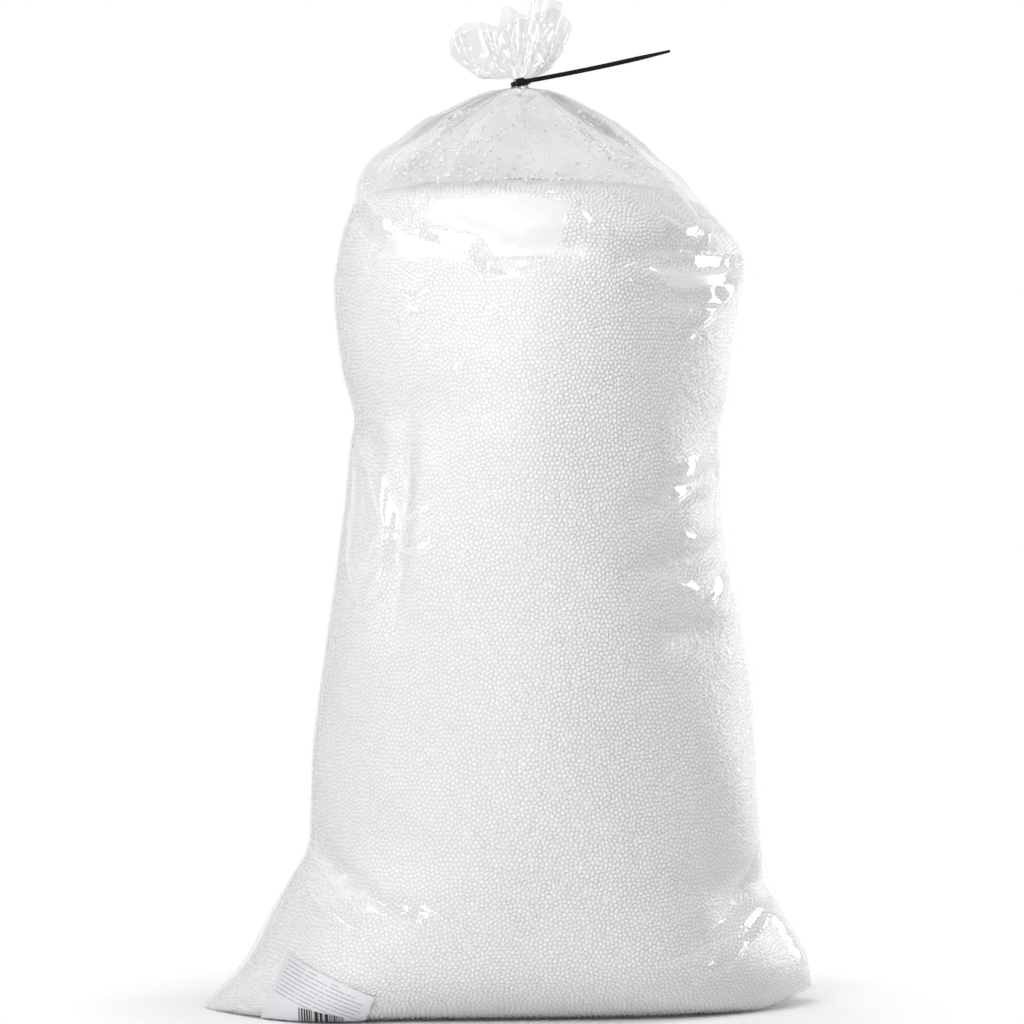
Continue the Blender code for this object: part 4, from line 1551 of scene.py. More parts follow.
@dataclass
class Domes:
    """Low domes over beads, each of which meets its neighbours' domes in valleys.

    tops are the beads' highest points, with their outward normals. faces are the triangles between
    neighbouring beads, and flat is the unrolled place of every corner of the faces.
    """

    tops: Array
    normals: Array
    faces: Array
    flat: Array
    valley: float = 0.0023
    gap: float = 0.0034
    # Share of painted shade on the points between two beads; the gaps between three beads get all of it
    valley_shade: float = 0.72

    def __post_init__(self) -> None:
        """Adds a point in each gap between three beads, once for each of them."""
        corners = self.faces.size
        upward = unit(self.normals[self.faces].mean(axis=1))
        gaps = self.tops[self.faces].mean(axis=1) - upward * self.gap
        own = np.zeros((len(self.tops), 2))
        own[self.faces.ravel()] = self.flat.reshape(-1, 2)
        self.shift = np.round(self.flat[..., 0] - own[self.faces][..., 0])
        gap_map = np.repeat(self.flat.mean(axis=1)[:, None, :], 3, axis=1)
        gap_map[..., 0] -= self.shift
        self.points = np.concatenate([self.tops, np.repeat(gaps, 3, axis=0)])
        self.gap_shade_shares = np.concatenate([np.zeros(len(self.tops)), np.ones(corners)])
        self.maps = np.concatenate([own, gap_map.reshape(-1, 2)])
        self.gap_of = len(self.tops) + np.arange(corners).reshape(self.faces.shape)
        self.start, self.end = self.faces.ravel(), self.faces[:, (1, 2, 0)].ravel()

    def detailed(self, chosen: Array) -> MeshParts:
        """Domes that have a corner towards each neighbour as well as in each gap.

        Args:
            chosen: which beads to make.

        Returns:
            The parts of the mesh.
        """
        size = len(self.tops) + 1
        both = np.concatenate([self.start * size + self.end, self.end * size + self.start])
        keys, inverse = np.unique(both, return_inverse=True)
        owner, other = keys // size, keys % size
        down = unit(self.normals[owner] + self.normals[other]) * self.valley
        middle = (self.tops[owner] + self.tops[other]) / 2.0 - down
        pair = ((self.flat + self.flat[:, (1, 2, 0)]) / 2.0).reshape(-1, 2)
        pair = np.concatenate([pair, pair])
        pair[:, 0] -= np.concatenate([self.shift.ravel(), self.shift[:, (1, 2, 0)].ravel()])
        middle_map = np.zeros((len(keys), 2))
        middle_map[inverse] = pair
        numbers = len(self.points) + inverse
        forward = numbers[: len(self.start)].reshape(self.faces.shape)
        backward = numbers[len(self.start) :].reshape(self.faces.shape)
        made = []
        for k in range(3):
            bead = self.faces[:, k]
            gap, before = self.gap_of[:, k], backward[:, (k + 2) % 3]
            made.append(np.stack([bead, forward[:, k], gap], axis=1)[chosen[bead]])
            made.append(np.stack([bead, gap, before], axis=1)[chosen[bead]])
        points = np.concatenate([self.points, middle])
        gap_shade_shares = np.concatenate([self.gap_shade_shares, np.full(len(middle), self.valley_shade)])
        return self.packed(np.concatenate(made), points, gap_shade_shares, np.concatenate([self.maps, middle_map]))

    def simple(self, chosen: Array) -> MeshParts:
        """Domes that only have a corner in each gap.

        Args:
            chosen: which beads to make.

        Returns:
            The parts of the mesh.
        """
        size = len(self.tops) + 1
        low, high = np.minimum(self.start, self.end), np.maximum(self.start, self.end)
        _, inverse, counts = np.unique(low * size + high, return_inverse=True, return_counts=True)
        order = np.argsort(inverse, kind="stable")
        first = np.concatenate([[0], np.cumsum(counts)[:-1]])[counts == 2]
        one, two = order[first], order[first + 1]
        made = []
        for here, there in ((one, two), (two, one)):
            bead = self.faces[here // 3, here % 3]
            corner = (self.faces[there // 3] == bead[:, None]).argmax(axis=1)
            gap, next_gap = self.gap_of[here // 3, here % 3], self.gap_of[there // 3, corner]
            made.append(np.stack([bead, next_gap, gap], axis=1)[chosen[bead]])
        return self.packed(np.concatenate(made), self.points, self.gap_shade_shares, self.maps)

    @staticmethod
    def packed(faces: Array, points: Array, gap_shade_shares: Array, maps: Array) -> MeshParts:
        """Keeps what the faces use, none of it under the floor.

        Args:
            faces: the triangles of the chosen domes.
            points: all points.
            gap_shade_shares: how far down each point is between the beads, up to 1, which is how much
                painted shade it gets.
            maps: the unrolled place of each point.

        Returns:
            The parts of the mesh.
        """
        used, numbers = np.unique(faces, return_inverse=True)
        kept = points[used]
        kept[:, 2] = np.maximum(kept[:, 2], FLOOR_CLEARANCE)
        low, high = maps[used].min(axis=0), maps[used].max(axis=0)
        fitted = MAP_MARGIN + MAP_SPAN * (maps[used] - low) / (high - low)
        return MeshParts(kept, numbers.reshape(faces.shape), fitted, {"rim": gap_shade_shares[used]})


@dataclass
class Beads:
    """The layer of beads that shows through the film."""

    shape: BagShape
    pitch: float = 0.00515
    inset: float = 0.0007
    ear_inset: float = 0.004
    foot_gap: float = 0.0008
    columns: int = 400
    roll_turns: tuple[float, float, int] = (7.0, 88.0, 14)
    wall_rings: int = 150
    cap_turns: tuple[float, ...] = (12.0, 24.0, 34.0, 42.0, 50.0, 58.0)
    jitter: float = 0.34
    rounds: int = 16
    push: float = 0.42
    push_reach: float = 1.45
    cell_slots: int = 4
    sunk: float = 0.00022
    missing_share: float = 0.006
    missing_depth: float = 0.0014
    seam: float = 0.03
    longest_side: float = 3.2
    front_limit: float = 0.30
    seed: int = 7

    # Girths that turn u into metres, for the jitter, the cells and the triangles
    jitter_girth: float = 1.35
    cell_girth: float = 1.30
    face_girth: float = 1.32

    def sheet(self) -> BeadSheet:
        """The surface of the beads' tops.

        Returns:
            The sheet, from the floor to the rounded edge of the filling's top.
        """
        angles = ring_angles(self.columns)
        rows = []
        for turn in np.radians(np.linspace(*self.roll_turns)):
            ring = self.shape.ring(angles, roll_height(turn), self.inset, self.ear_inset)
            rows.append(ring + np.array([0.0, 0.0, self.foot_gap * math.cos(turn)]))
        for height in np.linspace(BASE_ROLL, FILL_SHOULDER, self.wall_rings):
            rows.append(self.shape.ring(angles, height, self.inset, self.ear_inset))
        rim = rows[-1]
        rows += [self.cap_ring(rim, math.radians(turn)) for turn in self.cap_turns]
        return BeadSheet(np.array(rows))

    @staticmethod
    def cap_ring(rim: Array, turn: float) -> Array:
        """A ring of the filling's rounded top.

        Args:
            rim: the ring where the top starts to round off.
            turn: how far up from the rim the ring is.

        Returns:
            The ring's points.
        """
        middle = rim.mean(axis=0)
        ring = middle + (rim - middle) * math.cos(turn) ** CAP_POWER
        ring[:, 2] = FILL_SHOULDER + (FILL_TOP - FILL_SHOULDER) * math.sin(turn)
        return ring

    def seeds(self, sheet: BeadSheet, random: np.random.Generator) -> Array:
        """Rough places of the beads.

        Args:
            sheet: what they lie on.
            random: where the jitter comes from.

        Returns:
            u and v of each bead, in rows that are a little jittered.
        """
        rows = []
        for k, v in enumerate(np.arange(0.0, sheet.heights[-1], self.pitch * HEXAGON)):
            count = int(round(np.interp(v, sheet.heights, sheet.around) / self.pitch))
            u = (np.arange(count) + 0.5 * (k % 2)) / count
            rows.append(np.stack([u, np.full(count, v)], axis=1))
        places = np.concatenate(rows)
        moves = random.normal(size=places.shape) * self.pitch * self.jitter
        moves[:, 0] /= self.jitter_girth
        return sheet.held(places + moves)

    def relaxed(self, sheet: BeadSheet, places: Array) -> Array:
        """Lets the beads push each other apart.

        Args:
            sheet: what they lie on.
            places: u and v of each bead.

        Returns:
            u and v afterwards.
        """
        top = sheet.heights[-1]
        columns = int(self.cell_girth / self.pitch)
        rows = int(top / self.pitch) + 1
        own = np.arange(len(places))
        for _ in range(self.rounds):
            column = (places[:, 0] * columns).astype(int) % columns
            row = np.clip((places[:, 1] / top * rows).astype(int), 0, rows - 1)
            table = self.cell_table(row * columns + column, rows * columns)
            metric = sheet.sample(sheet.metric, places)
            push = np.zeros_like(places)
            for down in (-2, -1, 0, 1, 2):
                inside = (row + down >= 0) & (row + down < rows)
                for beside in (-2, -1, 0, 1, 2):
                    cell = np.where(inside, (row + down) * columns + (column + beside) % columns, 0)
                    for slot in range(self.cell_slots):
                        other = table[cell, slot]
                        near = np.flatnonzero(inside & (other >= 0) & (other != own))
                        push[near] += self.pushes(places, metric, near, other[near])
            places = sheet.held(places + push * self.pitch * self.push)
        return places

    def cell_table(self, cells: Array, count: int) -> Array:
        """Which beads are in which cell.

        Args:
            cells: the cell of each bead.
            count: how many cells there are.

        Returns:
            A few beads for each cell, filled up with -1.
        """
        order = np.argsort(cells, kind="stable")
        ranked = cells[order]
        rank = np.arange(len(cells)) - np.searchsorted(ranked, ranked)
        table = np.full((count, self.cell_slots), -1)
        fits = rank < self.cell_slots
        table[ranked[fits], rank[fits]] = order[fits]
        return table

    def pushes(self, places: Array, metric: Array, near: Array, other: Array) -> Array:
        """How beads are pushed by one neighbour each.

        Args:
            places: u and v of all beads.
            metric: how u and v measure the sheet at each bead.
            near: the beads that are pushed.
            other: their neighbours.

        Returns:
            The push on each of them.
        """
        away = places[near] - places[other]
        away[:, 0] -= np.round(away[:, 0])
        e, f, g = metric[near].T
        square = e * away[:, 0] ** 2 + 2.0 * f * away[:, 0] * away[:, 1]
        distance = np.sqrt(np.maximum(square + g * away[:, 1] ** 2, 1e-12))
        weight = np.maximum(1.0 - distance / (self.push_reach * self.pitch), 0.0) ** 2 / distance
        return away * weight[:, None]

    def triangles(self, places: Array) -> tuple[Array, Array]:
        """Joins neighbouring beads by triangles, all the way round.

        Args:
            places: u and v of each bead.

        Returns:
            The triangles, and how many turns each of their corners is moved across the seam.
        """
        left = np.flatnonzero(places[:, 0] > 1.0 - self.seam)
        right = np.flatnonzero(places[:, 0] < self.seam)
        source = np.concatenate([np.arange(len(places)), left, right])
        turn = np.concatenate([np.zeros(len(places)), -np.ones(len(left)), np.ones(len(right))])
        u = places[source, 0] + turn
        faces = flat_triangles(np.stack([u * self.face_girth, places[source, 1]], axis=1))
        middle = u[faces].mean(axis=1)
        faces = faces[(middle >= 0.0) & (middle < 1.0)]
        return source[faces], turn[faces]

    def build(self, material: Material) -> list[Object]:
        """Makes the bead layer.

        Args:
            material: the beads' finish.

        Returns:
            The lower and the upper half of the front, and the back.
        """
        random = np.random.default_rng(self.seed)
        sheet = self.sheet()
        places = self.relaxed(sheet, self.seeds(sheet, random))
        log.info("%d beads lie against the film", len(places))
        normals = unit(sheet.sample(sheet.normals, places))
        sunk = np.abs(random.normal(size=len(places))) * self.sunk
        sunk += np.where(random.random(len(places)) < self.missing_share, self.missing_depth, 0.0)
        tops = sheet.sample(sheet.grid, places) - normals * sunk[:, None]
        faces, turn = self.triangles(places)
        sides = lengths(tops[faces] - tops[np.roll(faces, -1, axis=1)])
        short = (sides < self.pitch * self.longest_side).all(axis=1)
        faces, turn = faces[short], turn[short]
        flat = np.stack([places[faces][..., 0] + turn, places[faces][..., 1] / self.face_girth], axis=-1)
        domes = Domes(tops, normals, faces, flat)
        front = normals[:, 1] < self.front_limit
        low = places[:, 1] < np.median(places[front, 1])
        return [
            domes.detailed(front & low).build("beads_front_low", material),
            domes.detailed(front & ~low).build("beads_front_high", material),
            domes.simple(~front).build("beads_back", material),
        ]


def flat_triangles(places: Array) -> Array:
    """Triangles between neighbouring places on a plane."""
    made = delaunay_2d_cdt([Vector(place) for place in places], [], [], 0, TINY)
    origin = np.array([ids[0] if ids else 0 for ids in made[3]])
    return origin[np.array(made[2])]


@dataclass
class BeadMound:
    """The filling's top under the empty cone, and the closed core behind the beads."""

    shape: BagShape
    beads: Beads
    columns: int = 96
    depth: float = 0.0036
    hollow: float = 0.0045
    foot_gap: float = 0.003
    ear_inset: float = 0.010
    foot_shares: Point = (0.004, 1.0)
    roll_turns: tuple[float, ...] = (25.0, 50.0, 75.0)
    wall_start: float = BASE_ROLL + 0.01
    wall_rings: int = 60
    cap_turns: tuple[float, ...] = (20.0, 40.0, 60.0, 80.0, 89.5)
    top_side: float = 0.24
    top_turn: float = math.radians(52.0)
    top_jitter: float = 0.12
    top_power: float = 2.5
    waves: Ripples = Ripples(0.07, 31)
    wave_height: float = 0.0008
    longest_side: float = 2.0
    seed: int = 11

    def build_core(self, material: Material) -> Object:
        """Makes a plain closed body just behind the beads, which stops light in the gaps between them.

        Args:
            material: the beads' finish.

        Returns:
            The core.
        """
        angles = ring_angles(self.columns)
        inset = self.beads.inset + self.depth
        up = np.array([0.0, 0.0, self.foot_gap])
        rows = [self.shape.contact(angles, inset, share) + up for share in self.foot_shares]
        for turn in np.radians(self.roll_turns):
            rows.append(self.shape.ring(angles, roll_height(turn), inset, self.ear_inset) + up)
        for height in np.linspace(self.wall_start, FILL_SHOULDER, self.wall_rings):
            rows.append(self.shape.ring(angles, height, inset, self.ear_inset))
        rim = rows[-1]
        for turn in (math.radians(turn) for turn in self.cap_turns):
            ring = Beads.cap_ring(rim, turn)
            rows.append(ring - np.array([0.0, 0.0, self.depth + self.hollow * math.sin(turn)]))
        return grid_parts(np.array(rows)).build("beads_core", material)

    def top_places(self, rim: Array) -> tuple[Array, Array]:
        """Places of the beads on the filling's top, from its middle.

        Args:
            rim: the filling's edge, from the middle.

        Returns:
            The places, and the share of the way to the rim at each.
        """
        bearing = np.arctan2(rim[:, 1], rim[:, 0])
        order = np.argsort(bearing)
        radius = np.hypot(rim[:, 0], rim[:, 1])
        pitch, side = self.beads.pitch, self.top_side
        rows = []
        for k, y in enumerate(np.arange(-side, side, pitch * HEXAGON)):
            x = np.arange(-side, side, pitch) + 0.5 * pitch * (k % 2)
            rows.append(np.stack([x, np.full_like(x, y)], axis=1))
        places = np.concatenate(rows)
        places += np.random.default_rng(self.seed).normal(size=places.shape) * pitch * self.top_jitter
        angle = np.arctan2(places[:, 1], places[:, 0])
        limit = np.interp(angle, bearing[order], radius[order], period=2.0 * math.pi)
        share = np.hypot(places[:, 0], places[:, 1]) / limit
        inside = share < math.cos(self.top_turn) ** CAP_POWER
        return places[inside], share[inside]

    def build_top(self, material: Material) -> Object:
        """Makes the beads on the filling's top.

        Args:
            material: the beads' finish.

        Returns:
            The beads, whose tops lie a little over the core.
        """
        rim = self.shape.ring(ring_angles(self.columns), FILL_SHOULDER, self.beads.inset)
        middle = rim.mean(axis=0)[:2]
        places, share = self.top_places(rim[:, :2] - middle)
        rise = np.sqrt(np.maximum(1.0 - share**self.top_power, 0.0))
        waves = self.waves.at(np.concatenate([places, np.zeros((len(places), 1))], axis=1))
        height = np.minimum(FILL_SHOULDER + (FILL_TOP - FILL_SHOULDER) * rise, FILL_TOP - self.hollow)
        height = height + waves * self.wave_height
        tops = np.concatenate([places + middle, height[:, None]], axis=1)
        faces = flat_triangles(places)
        sides = lengths(tops[faces] - tops[np.roll(faces, 1, axis=1)])
        faces = faces[sides.max(axis=1) < self.longest_side * self.beads.pitch]
        domes = Domes(tops, np.tile([0.0, 0.0, 1.0], (len(tops), 1)), faces, places[faces])
        return domes.detailed(np.ones(len(tops), bool)).build("beads_top", material)


# Where single beads cling: first and last angle in degrees, lowest and highest place, how many
STRAY_SPOTS = (
    (205.0, 250.0, 0.868, 0.94, 120),
    (222.0, 262.0, 0.856, 0.905, 110),
    (292.0, 335.0, 0.868, 0.935, 70),
    (300.0, 318.0, 0.9, 0.925, 50),
    (312.0, 330.0, 0.872, 0.9, 60),
    (255.0, 295.0, 0.86, 0.95, 24),
    (20.0, 170.0, 0.862, 0.94, 90),
    (190.0, 350.0, 0.852, 0.866, 130),
)


@dataclass
class StrayBeads:
    """Single beads that cling to the inside of the empty film."""

    shape: BagShape
    radius: float = 0.0021
    sizes: Point = (0.75, 1.1)
    inset: float = 0.0028
    crowding: float = 1.4
    # How much of the beads' painted shade darkens every stray bead
    painted_shade_share: float = 0.2
    seed: int = 19

    def places(self) -> list[tuple[Vector, float]]:
        """Scatters the beads over their spots.

        Returns:
            The middle and the radius of each bead.
        """
        random = np.random.default_rng(self.seed)
        found = []
        for start, end, low, high, count in STRAY_SPOTS:
            angle = np.radians(random.uniform(start, end, count))
            height = low + (high - low) * random.random(count) ** self.crowding
            size = self.radius * random.uniform(*self.sizes, count)
            points = self.shape.wall(angle, height, self.inset)
            found += [(Vector(point), float(radius)) for point, radius in zip(points, size)]
        return found

    def build(self, material: Material) -> Object:
        """Makes the beads as one object.

        Args:
            material: the beads' finish.

        Returns:
            The beads.
        """
        draft = bmesh.new()
        for middle, radius in self.places():
            place = Matrix.Translation(middle)
            bmesh.ops.create_icosphere(draft, subdivisions=1, radius=radius, matrix=place)
        mesh = as_mesh("beads_stray", draft)
        # Each stray bead is darkened evenly by a little of the beads' painted shade
        store_value(mesh, "rim", np.full(len(mesh.vertices), self.painted_shade_share))
        return smooth_object("beads_stray", mesh, material)


@dataclass
class Label:
    """The printed label on the film, low on the left of the front."""

    corner: Point = (-0.230, 0.066)
    tilt: float = math.radians(-22.0)
    width: float = 0.099
    height: float = 0.090
    foot: float = 0.0012
    gap: float = 0.00045
    steps: int = 72
    in_front: float = -0.6
    map_margin: float = 0.02
    map_scale: float = 9.5

    def laid(self, tree: BVHTree, along: float, down: float) -> Vector | None:
        """Lays a point of the label on the film.

        Args:
            tree: the film.
            along: how far along the label the point is.
            down: how far down it.

        Returns:
            Its place, or None where the label has turned under the bag.
        """
        x = self.corner[0] + along * math.cos(self.tilt) + down * math.sin(self.tilt)
        z = self.corner[1] + along * math.sin(self.tilt) - down * math.cos(self.tilt)
        place, normal, _, _ = tree.ray_cast(Vector((x, self.in_front, z)), Vector((0.0, 1.0, 0.0)))
        return None if z < self.foot or place is None else place + normal * self.gap

    def build(self, film: Object, material: Material) -> Object:
        """Lays the label on the film.

        Args:
            film: what it lies on.
            material: its finish.

        Returns:
            The label.
        """
        tree = BVHTree.FromObject(film, bpy.context.evaluated_depsgraph_get())
        draft = bmesh.new()
        values: list[Point] = []
        rows: list[list[Corner | None]] = []
        for i in range(self.steps + 1):
            rows.append([])
            for j in range(self.steps + 1):
                along, down = self.width * j / self.steps, self.height * i / self.steps
                place = self.laid(tree, along, down)
                rows[-1].append(None if place is None else draft.verts.new(place))
                values += [] if place is None else [(along, down)]
        for upper, lower in zip(rows, rows[1:]):
            for corners in zip(lower, lower[1:], upper[1:], upper):
                if None not in corners:
                    draft.faces.new(corners)
        mesh = as_mesh("label_sheet", draft)
        table = np.array(values)
        store_value(mesh, "along", table[:, 0])
        store_value(mesh, "down", table[:, 1])
        numbers = np.zeros(len(mesh.loops), np.int32)
        mesh.loops.foreach_get("vertex_index", numbers)
        store_map(mesh, self.map_margin + table[numbers] * self.map_scale)
        return smooth_object("label_sheet", mesh, material)


@dataclass
class CableTie:
    """The black cable tie: its band, its head with a low boss, and its tail with a ribbed tip.

    It is built round its own axis, with the head in front, and then tilted into place.
    """

    strap_width: float = 0.0048
    strap_thickness: float = 0.0013
    edge_share: float = 0.35
    neck_gap: float = 0.0006
    band_steps: int = 48
    tail_length: float = 0.160
    tail_start: float = 0.0028
    tail_steps: int = 24
    even_from: float = 0.01
    tail_forward: float = 0.6
    droop: float = 0.0012
    tip_length: float = 0.034
    tip_width: float = 0.0028
    tip_edge: float = 0.0006
    tip_end: float = 0.0009
    ribs: int = 14
    rib_height: float = 0.0003
    head: Triple = (0.0095, 0.0062, 0.0084)
    head_edge: float = 0.0008
    boss: Triple = (0.0050, 0.0012, 0.0060)
    boss_edge: float = 0.0004
    boss_forward: float = 0.0002
    tilt: float = math.radians(11.8)

    def build(self, material: Material) -> Object:
        """Makes the tie as one object in place.

        Args:
            material: its finish.

        Returns:
            The tie.
        """
        draft = bmesh.new()
        inner = NECK_RADIUS + self.neck_gap
        self.band(draft, inner)
        self.tail(draft, -(inner + self.strap_thickness + self.strap_thickness * self.tail_forward))
        middle = Vector((0.0, -(inner + self.head[1] / 2.0), 0.0))
        self.block(draft, middle, Vector(self.head), self.head_edge)
        middle = Vector((0.0, -(inner + self.head[1] + self.boss_forward), 0.0))
        self.block(draft, middle, Vector(self.boss), self.boss_edge)
        turn = Matrix.Translation((NECK_X, 0.0, TIE_HEIGHT)) @ Matrix.Rotation(-self.tilt, 4, "Y")
        bmesh.ops.transform(draft, matrix=turn, verts=draft.verts)
        bmesh.ops.recalc_face_normals(draft, faces=draft.faces)
        item = smooth_object("tie", as_mesh("tie", draft), material)
        item.modifiers.new("soft edges", "WEIGHTED_NORMAL").keep_sharp = True
        return item

    def section(self, wide: float, thick: float) -> list[Point]:
        """A flat strap's section with its edges cut off.

        Args:
            wide: half its width.
            thick: half its thickness.

        Returns:
            Its corners, as thickness and width.
        """
        cut = min(wide, thick) * self.edge_share
        half = [(-thick, -wide + cut), (-thick + cut, -wide), (thick - cut, -wide), (thick, -wide + cut)]
        return half + [(-t, -w) for t, w in half]

    @staticmethod
    def skin(draft: Draft, here: list[Corner], there: list[Corner]) -> None:
        """Joins two sections of the strap by faces."""
        count = len(here)
        for k in range(count):
            draft.faces.new((here[k], here[(k + 1) % count], there[(k + 1) % count], there[k]))

    def band(self, draft: Draft, inner: float) -> None:
        """The band round the neck.

        Args:
            draft: what it is added to.
            inner: its inner radius.
        """
        middle = inner + self.strap_thickness / 2.0
        corners = self.section(self.strap_width / 2.0, self.strap_thickness / 2.0)
        rows = []
        for i in range(self.band_steps):
            angle = 2.0 * math.pi * i / self.band_steps
            x, y = math.cos(angle), math.sin(angle)
            rows.append([draft.verts.new(((middle + t) * x, (middle + t) * y, w)) for t, w in corners])
        for here, there in zip(rows, rows[1:] + rows[:1]):
            self.skin(draft, there, here)

    def tail_sections(self) -> list[Triple]:
        """The sections of the tail.

        Returns:
            How far along each one is, with half its width and thickness.
        """
        half, thin = self.strap_width / 2.0, self.strap_thickness / 2.0
        start = self.tail_length - self.tip_length
        plain = start - self.even_from
        sections = [(self.tail_start, half, thin)]
        for i in range(self.tail_steps + 1):
            sections.append((self.even_from + plain * i / self.tail_steps, half, thin))
        pitch = self.tip_length / (self.ribs + 1)
        for i in range(self.ribs):
            wide = half + (self.tip_width / 2.0 - half) * (i + 1) / (self.ribs + 1)
            foot = start + pitch * (i + 0.4)
            for share, height in ((0.0, 0.0), (0.15, self.rib_height), (0.45, self.rib_height), (0.60, 0.0)):
                sections.append((foot + pitch * share, wide, thin + height))
        sections.append((self.tail_length - self.tip_edge, self.tip_width / 2.0, thin * 0.8))
        sections.append((self.tail_length, self.tip_end, thin * 0.5))
        return sections

    def tail(self, draft: Draft, front: float) -> None:
        """The long end, ribbed and narrower towards its tip.

        Args:
            draft: what it is added to.
            front: the place of its middle to the back, which is negative.
        """
        rows = []
        for x, wide, thick in self.tail_sections():
            drop = self.droop * math.sin(math.pi * x / self.tail_length)
            rows.append([draft.verts.new((x, front + t, w - drop)) for t, w in self.section(wide, thick)])
        for here, there in zip(rows, rows[1:]):
            self.skin(draft, here, there)
        draft.faces.new(rows[0])
        draft.faces.new(rows[-1])

    @staticmethod
    def block(draft: Draft, middle: Vector, size: Vector, edge: float) -> None:
        """Adds a block with rounded edges.

        Args:
            draft: what it is added to.
            middle: its place.
            size: its length, depth and width.
            edge: how far its edges are rounded.
        """
        place = Matrix.Translation(middle) @ Matrix.Diagonal((*size, 1.0))
        made = bmesh.ops.create_cube(draft, size=1.0, matrix=place)
        edges = list({e for v in made["verts"] for e in v.link_edges})
        bmesh.ops.bevel(draft, geom=edges, offset=edge, segments=3, affect="EDGES", profile=0.5)


# Stage


@dataclass(frozen=True)
class Softbox:
    """A soft lamp that faces a point of the bag."""

    name: str
    place: Triple
    size: Point
    radiance: float
    target: Triple = (0.0, 0.0, 0.50)
    lights: bool = True
    mirrored: bool = True

    def build(self) -> None:
        """Makes the lamp. Its power follows from how bright its face looks."""
        lamp = bpy.data.lights.new(self.name, "AREA")
        lamp.shape = "RECTANGLE"
        lamp.size, lamp.size_y = self.size
        lamp.energy = self.radiance * math.pi * self.size[0] * self.size[1]
        item = linked(self.name, lamp)
        item.location = self.place
        item.visible_diffuse = self.lights
        item.visible_glossy = self.mirrored
        away = Vector(self.target) - Vector(self.place)
        item.rotation_euler = away.to_track_quat("-Z", "Y").to_euler()


SOFTBOXES = (
    Softbox("key", (-0.97, -1.80, 1.35), (0.8, 1.0), 7.4, (0.0, 0.0, 0.60)),
    Softbox("side", (-0.60, -2.25, 0.28), (1.4, 0.5), 3.9, (0.0, 0.0, 0.05), mirrored=False),
    Softbox("rim", (2.60, 1.0, 0.95), (0.8, 1.6), 11.5),
    Softbox("front", (-0.15, -2.1, 2.0), (1.5, 1.7), 1.0, (0.0, 0.0, 0.75)),
    Softbox("top", (0.0, -0.70, 2.60), (1.6, 1.6), 1.7, (0.0, 0.0, 0.80), mirrored=False),
    Softbox("back", (-1.50, 2.40, 1.30), (1.4, 1.4), 4.0, mirrored=False),
    Softbox("right sparkle", (1.70, -1.70, 1.95), (0.7, 0.9), 8.0, (0.1, 0.0, 0.50), lights=False),
    Softbox("left sparkle", (-2.20, -0.90, 1.20), (0.6, 1.0), 8.0, (-0.1, 0.0, 0.40), lights=False),
)


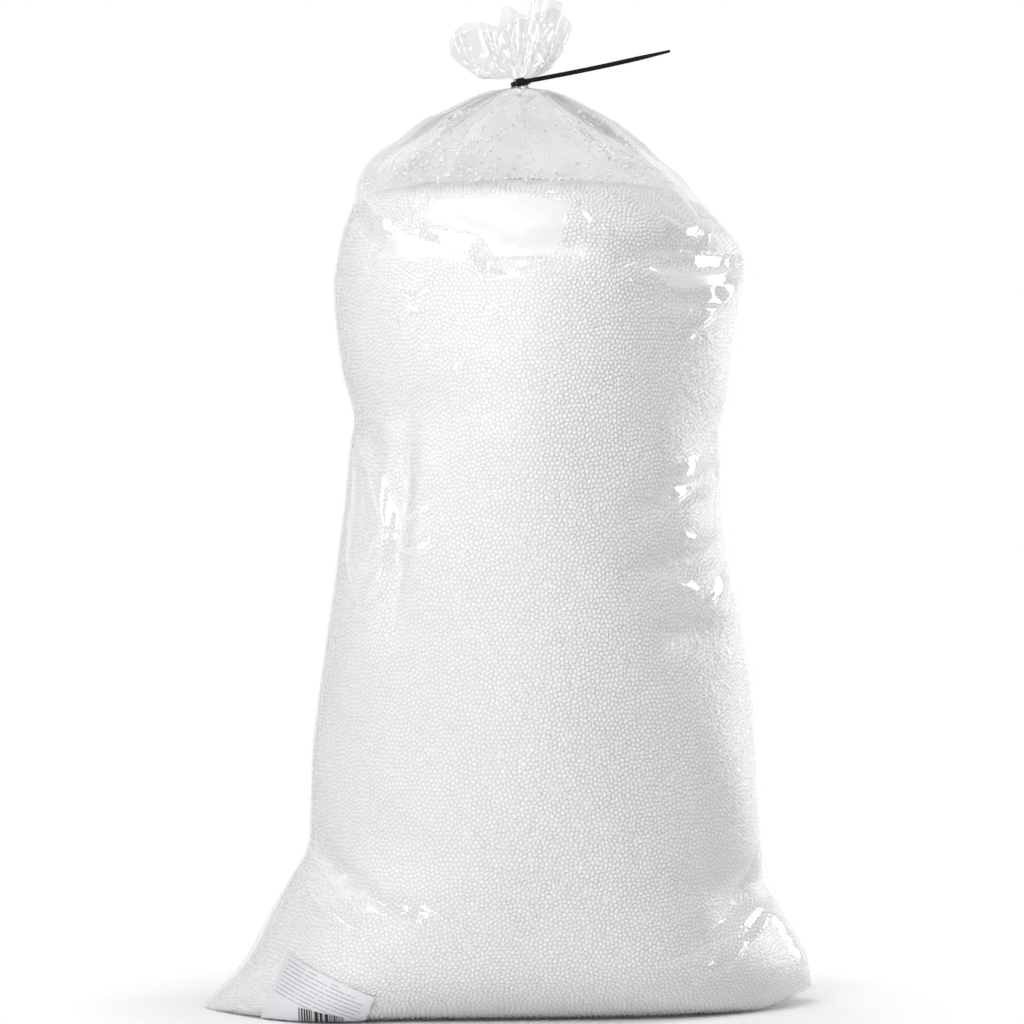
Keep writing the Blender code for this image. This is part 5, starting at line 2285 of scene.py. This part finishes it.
@dataclass(frozen=True)
class Stage:
    """Camera, world, floor and lamps."""

    diffuse_world: float = 0.29
    dark_side: float = 0.25
    dark_until: float = -0.55
    bright_from: float = 0.25
    floor_radius: float = 14.0
    floor_sides: int = 96
    floor_drop: float = 0.0002

    def build(self) -> None:
        """Makes everything that isn't part of the bag."""
        bpy.context.scene.view_settings.view_transform = "Standard"
        self.camera()
        self.world()
        self.floor()
        for softbox in SOFTBOXES:
            softbox.build()

    @staticmethod
    def camera() -> None:
        """The camera, level and straight in front."""
        camera = bpy.data.cameras.new("camera")
        camera.lens = FOCAL_PIXELS / PICTURE_SIDE * SENSOR_WIDTH
        camera.sensor_width = SENSOR_WIDTH
        item = linked("camera", camera)
        item.location = (0.0, -CAMERA_DISTANCE, CAMERA_HEIGHT)
        item.rotation_euler = (math.pi / 2.0, 0.0, 0.0)
        bpy.context.scene.camera = item

    def world(self) -> None:
        """White where it is seen, dimmer as light, and darker in reflections of the camera's side."""
        world = bpy.data.worlds.new("white room")
        world.use_nodes = True
        nodes = Nodes(world.node_tree)
        back = nodes.part(nodes.add("ShaderNodeTexCoord", output="Generated"), "Y")
        mirrored = back.mapped(self.dark_until, self.bright_from, self.dark_side, 1.0)
        feeds = {0: nodes.ray("Is Glossy Ray"), 2: self.diffuse_world, 3: mirrored}
        strength = nodes.add("ShaderNodeMix", feeds=feeds)
        seen = nodes.ray("Is Camera Ray").highest(nodes.ray("Is Transmission Ray"))
        feeds = {"Color": WHITE, "Strength": strength.highest(seen)}
        nodes.add("ShaderNodeOutputWorld", feeds={"Surface": nodes.add("ShaderNodeBackground", feeds=feeds)})
        bpy.context.scene.world = world

    def floor(self) -> None:
        """A round white floor just under the bag."""
        draft = bmesh.new()
        bmesh.ops.create_circle(draft, cap_ends=True, segments=self.floor_sides, radius=self.floor_radius)
        item = smooth_object("floor", as_mesh("floor", draft), FloorFinish().build())
        item.location = (0.0, 0.0, -self.floor_drop)


class Slot(Enum):
    """The record's material slots."""

    FILM = "clear_film"
    BEADS = "polystyrene"
    TIE = "black_nylon"
    LABEL = "printed_paper"


def dress(item: Object, node: str, slot: Slot) -> None:
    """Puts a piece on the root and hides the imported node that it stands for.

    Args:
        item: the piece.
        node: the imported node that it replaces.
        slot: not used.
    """
    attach(item, "root")
    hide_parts(node)
    log.info("%s for %s, %d faces", item.name, node, len(item.data.polygons))


def main() -> None:
    """Builds the bag and what is round it."""
    logging.basicConfig(level=logging.INFO, format="%(message)s")
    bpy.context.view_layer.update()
    shape = BagShape()
    Stage().build()
    film_look, bead_look = FilmFinish().build(), BeadFinish().build()
    film = Film(shape).build(film_look)
    for item in (*film, Ruffle(shape).build(film_look)):
        dress(item, "bag_film", Slot.FILM)
    beads = Beads(shape)
    mound = BeadMound(shape, beads)
    pieces = beads.build(bead_look)
    pieces += [mound.build_core(bead_look), mound.build_top(bead_look), StrayBeads(shape).build(bead_look)]
    for item in pieces:
        dress(item, "bead_fill", Slot.BEADS)
    dress(Label().build(film[0], PaperFinish().build()), "label", Slot.LABEL)
    dress(CableTie().build(NylonFinish().build()), "cable_tie", Slot.TIE)


if __name__ == "__main__":
    main()
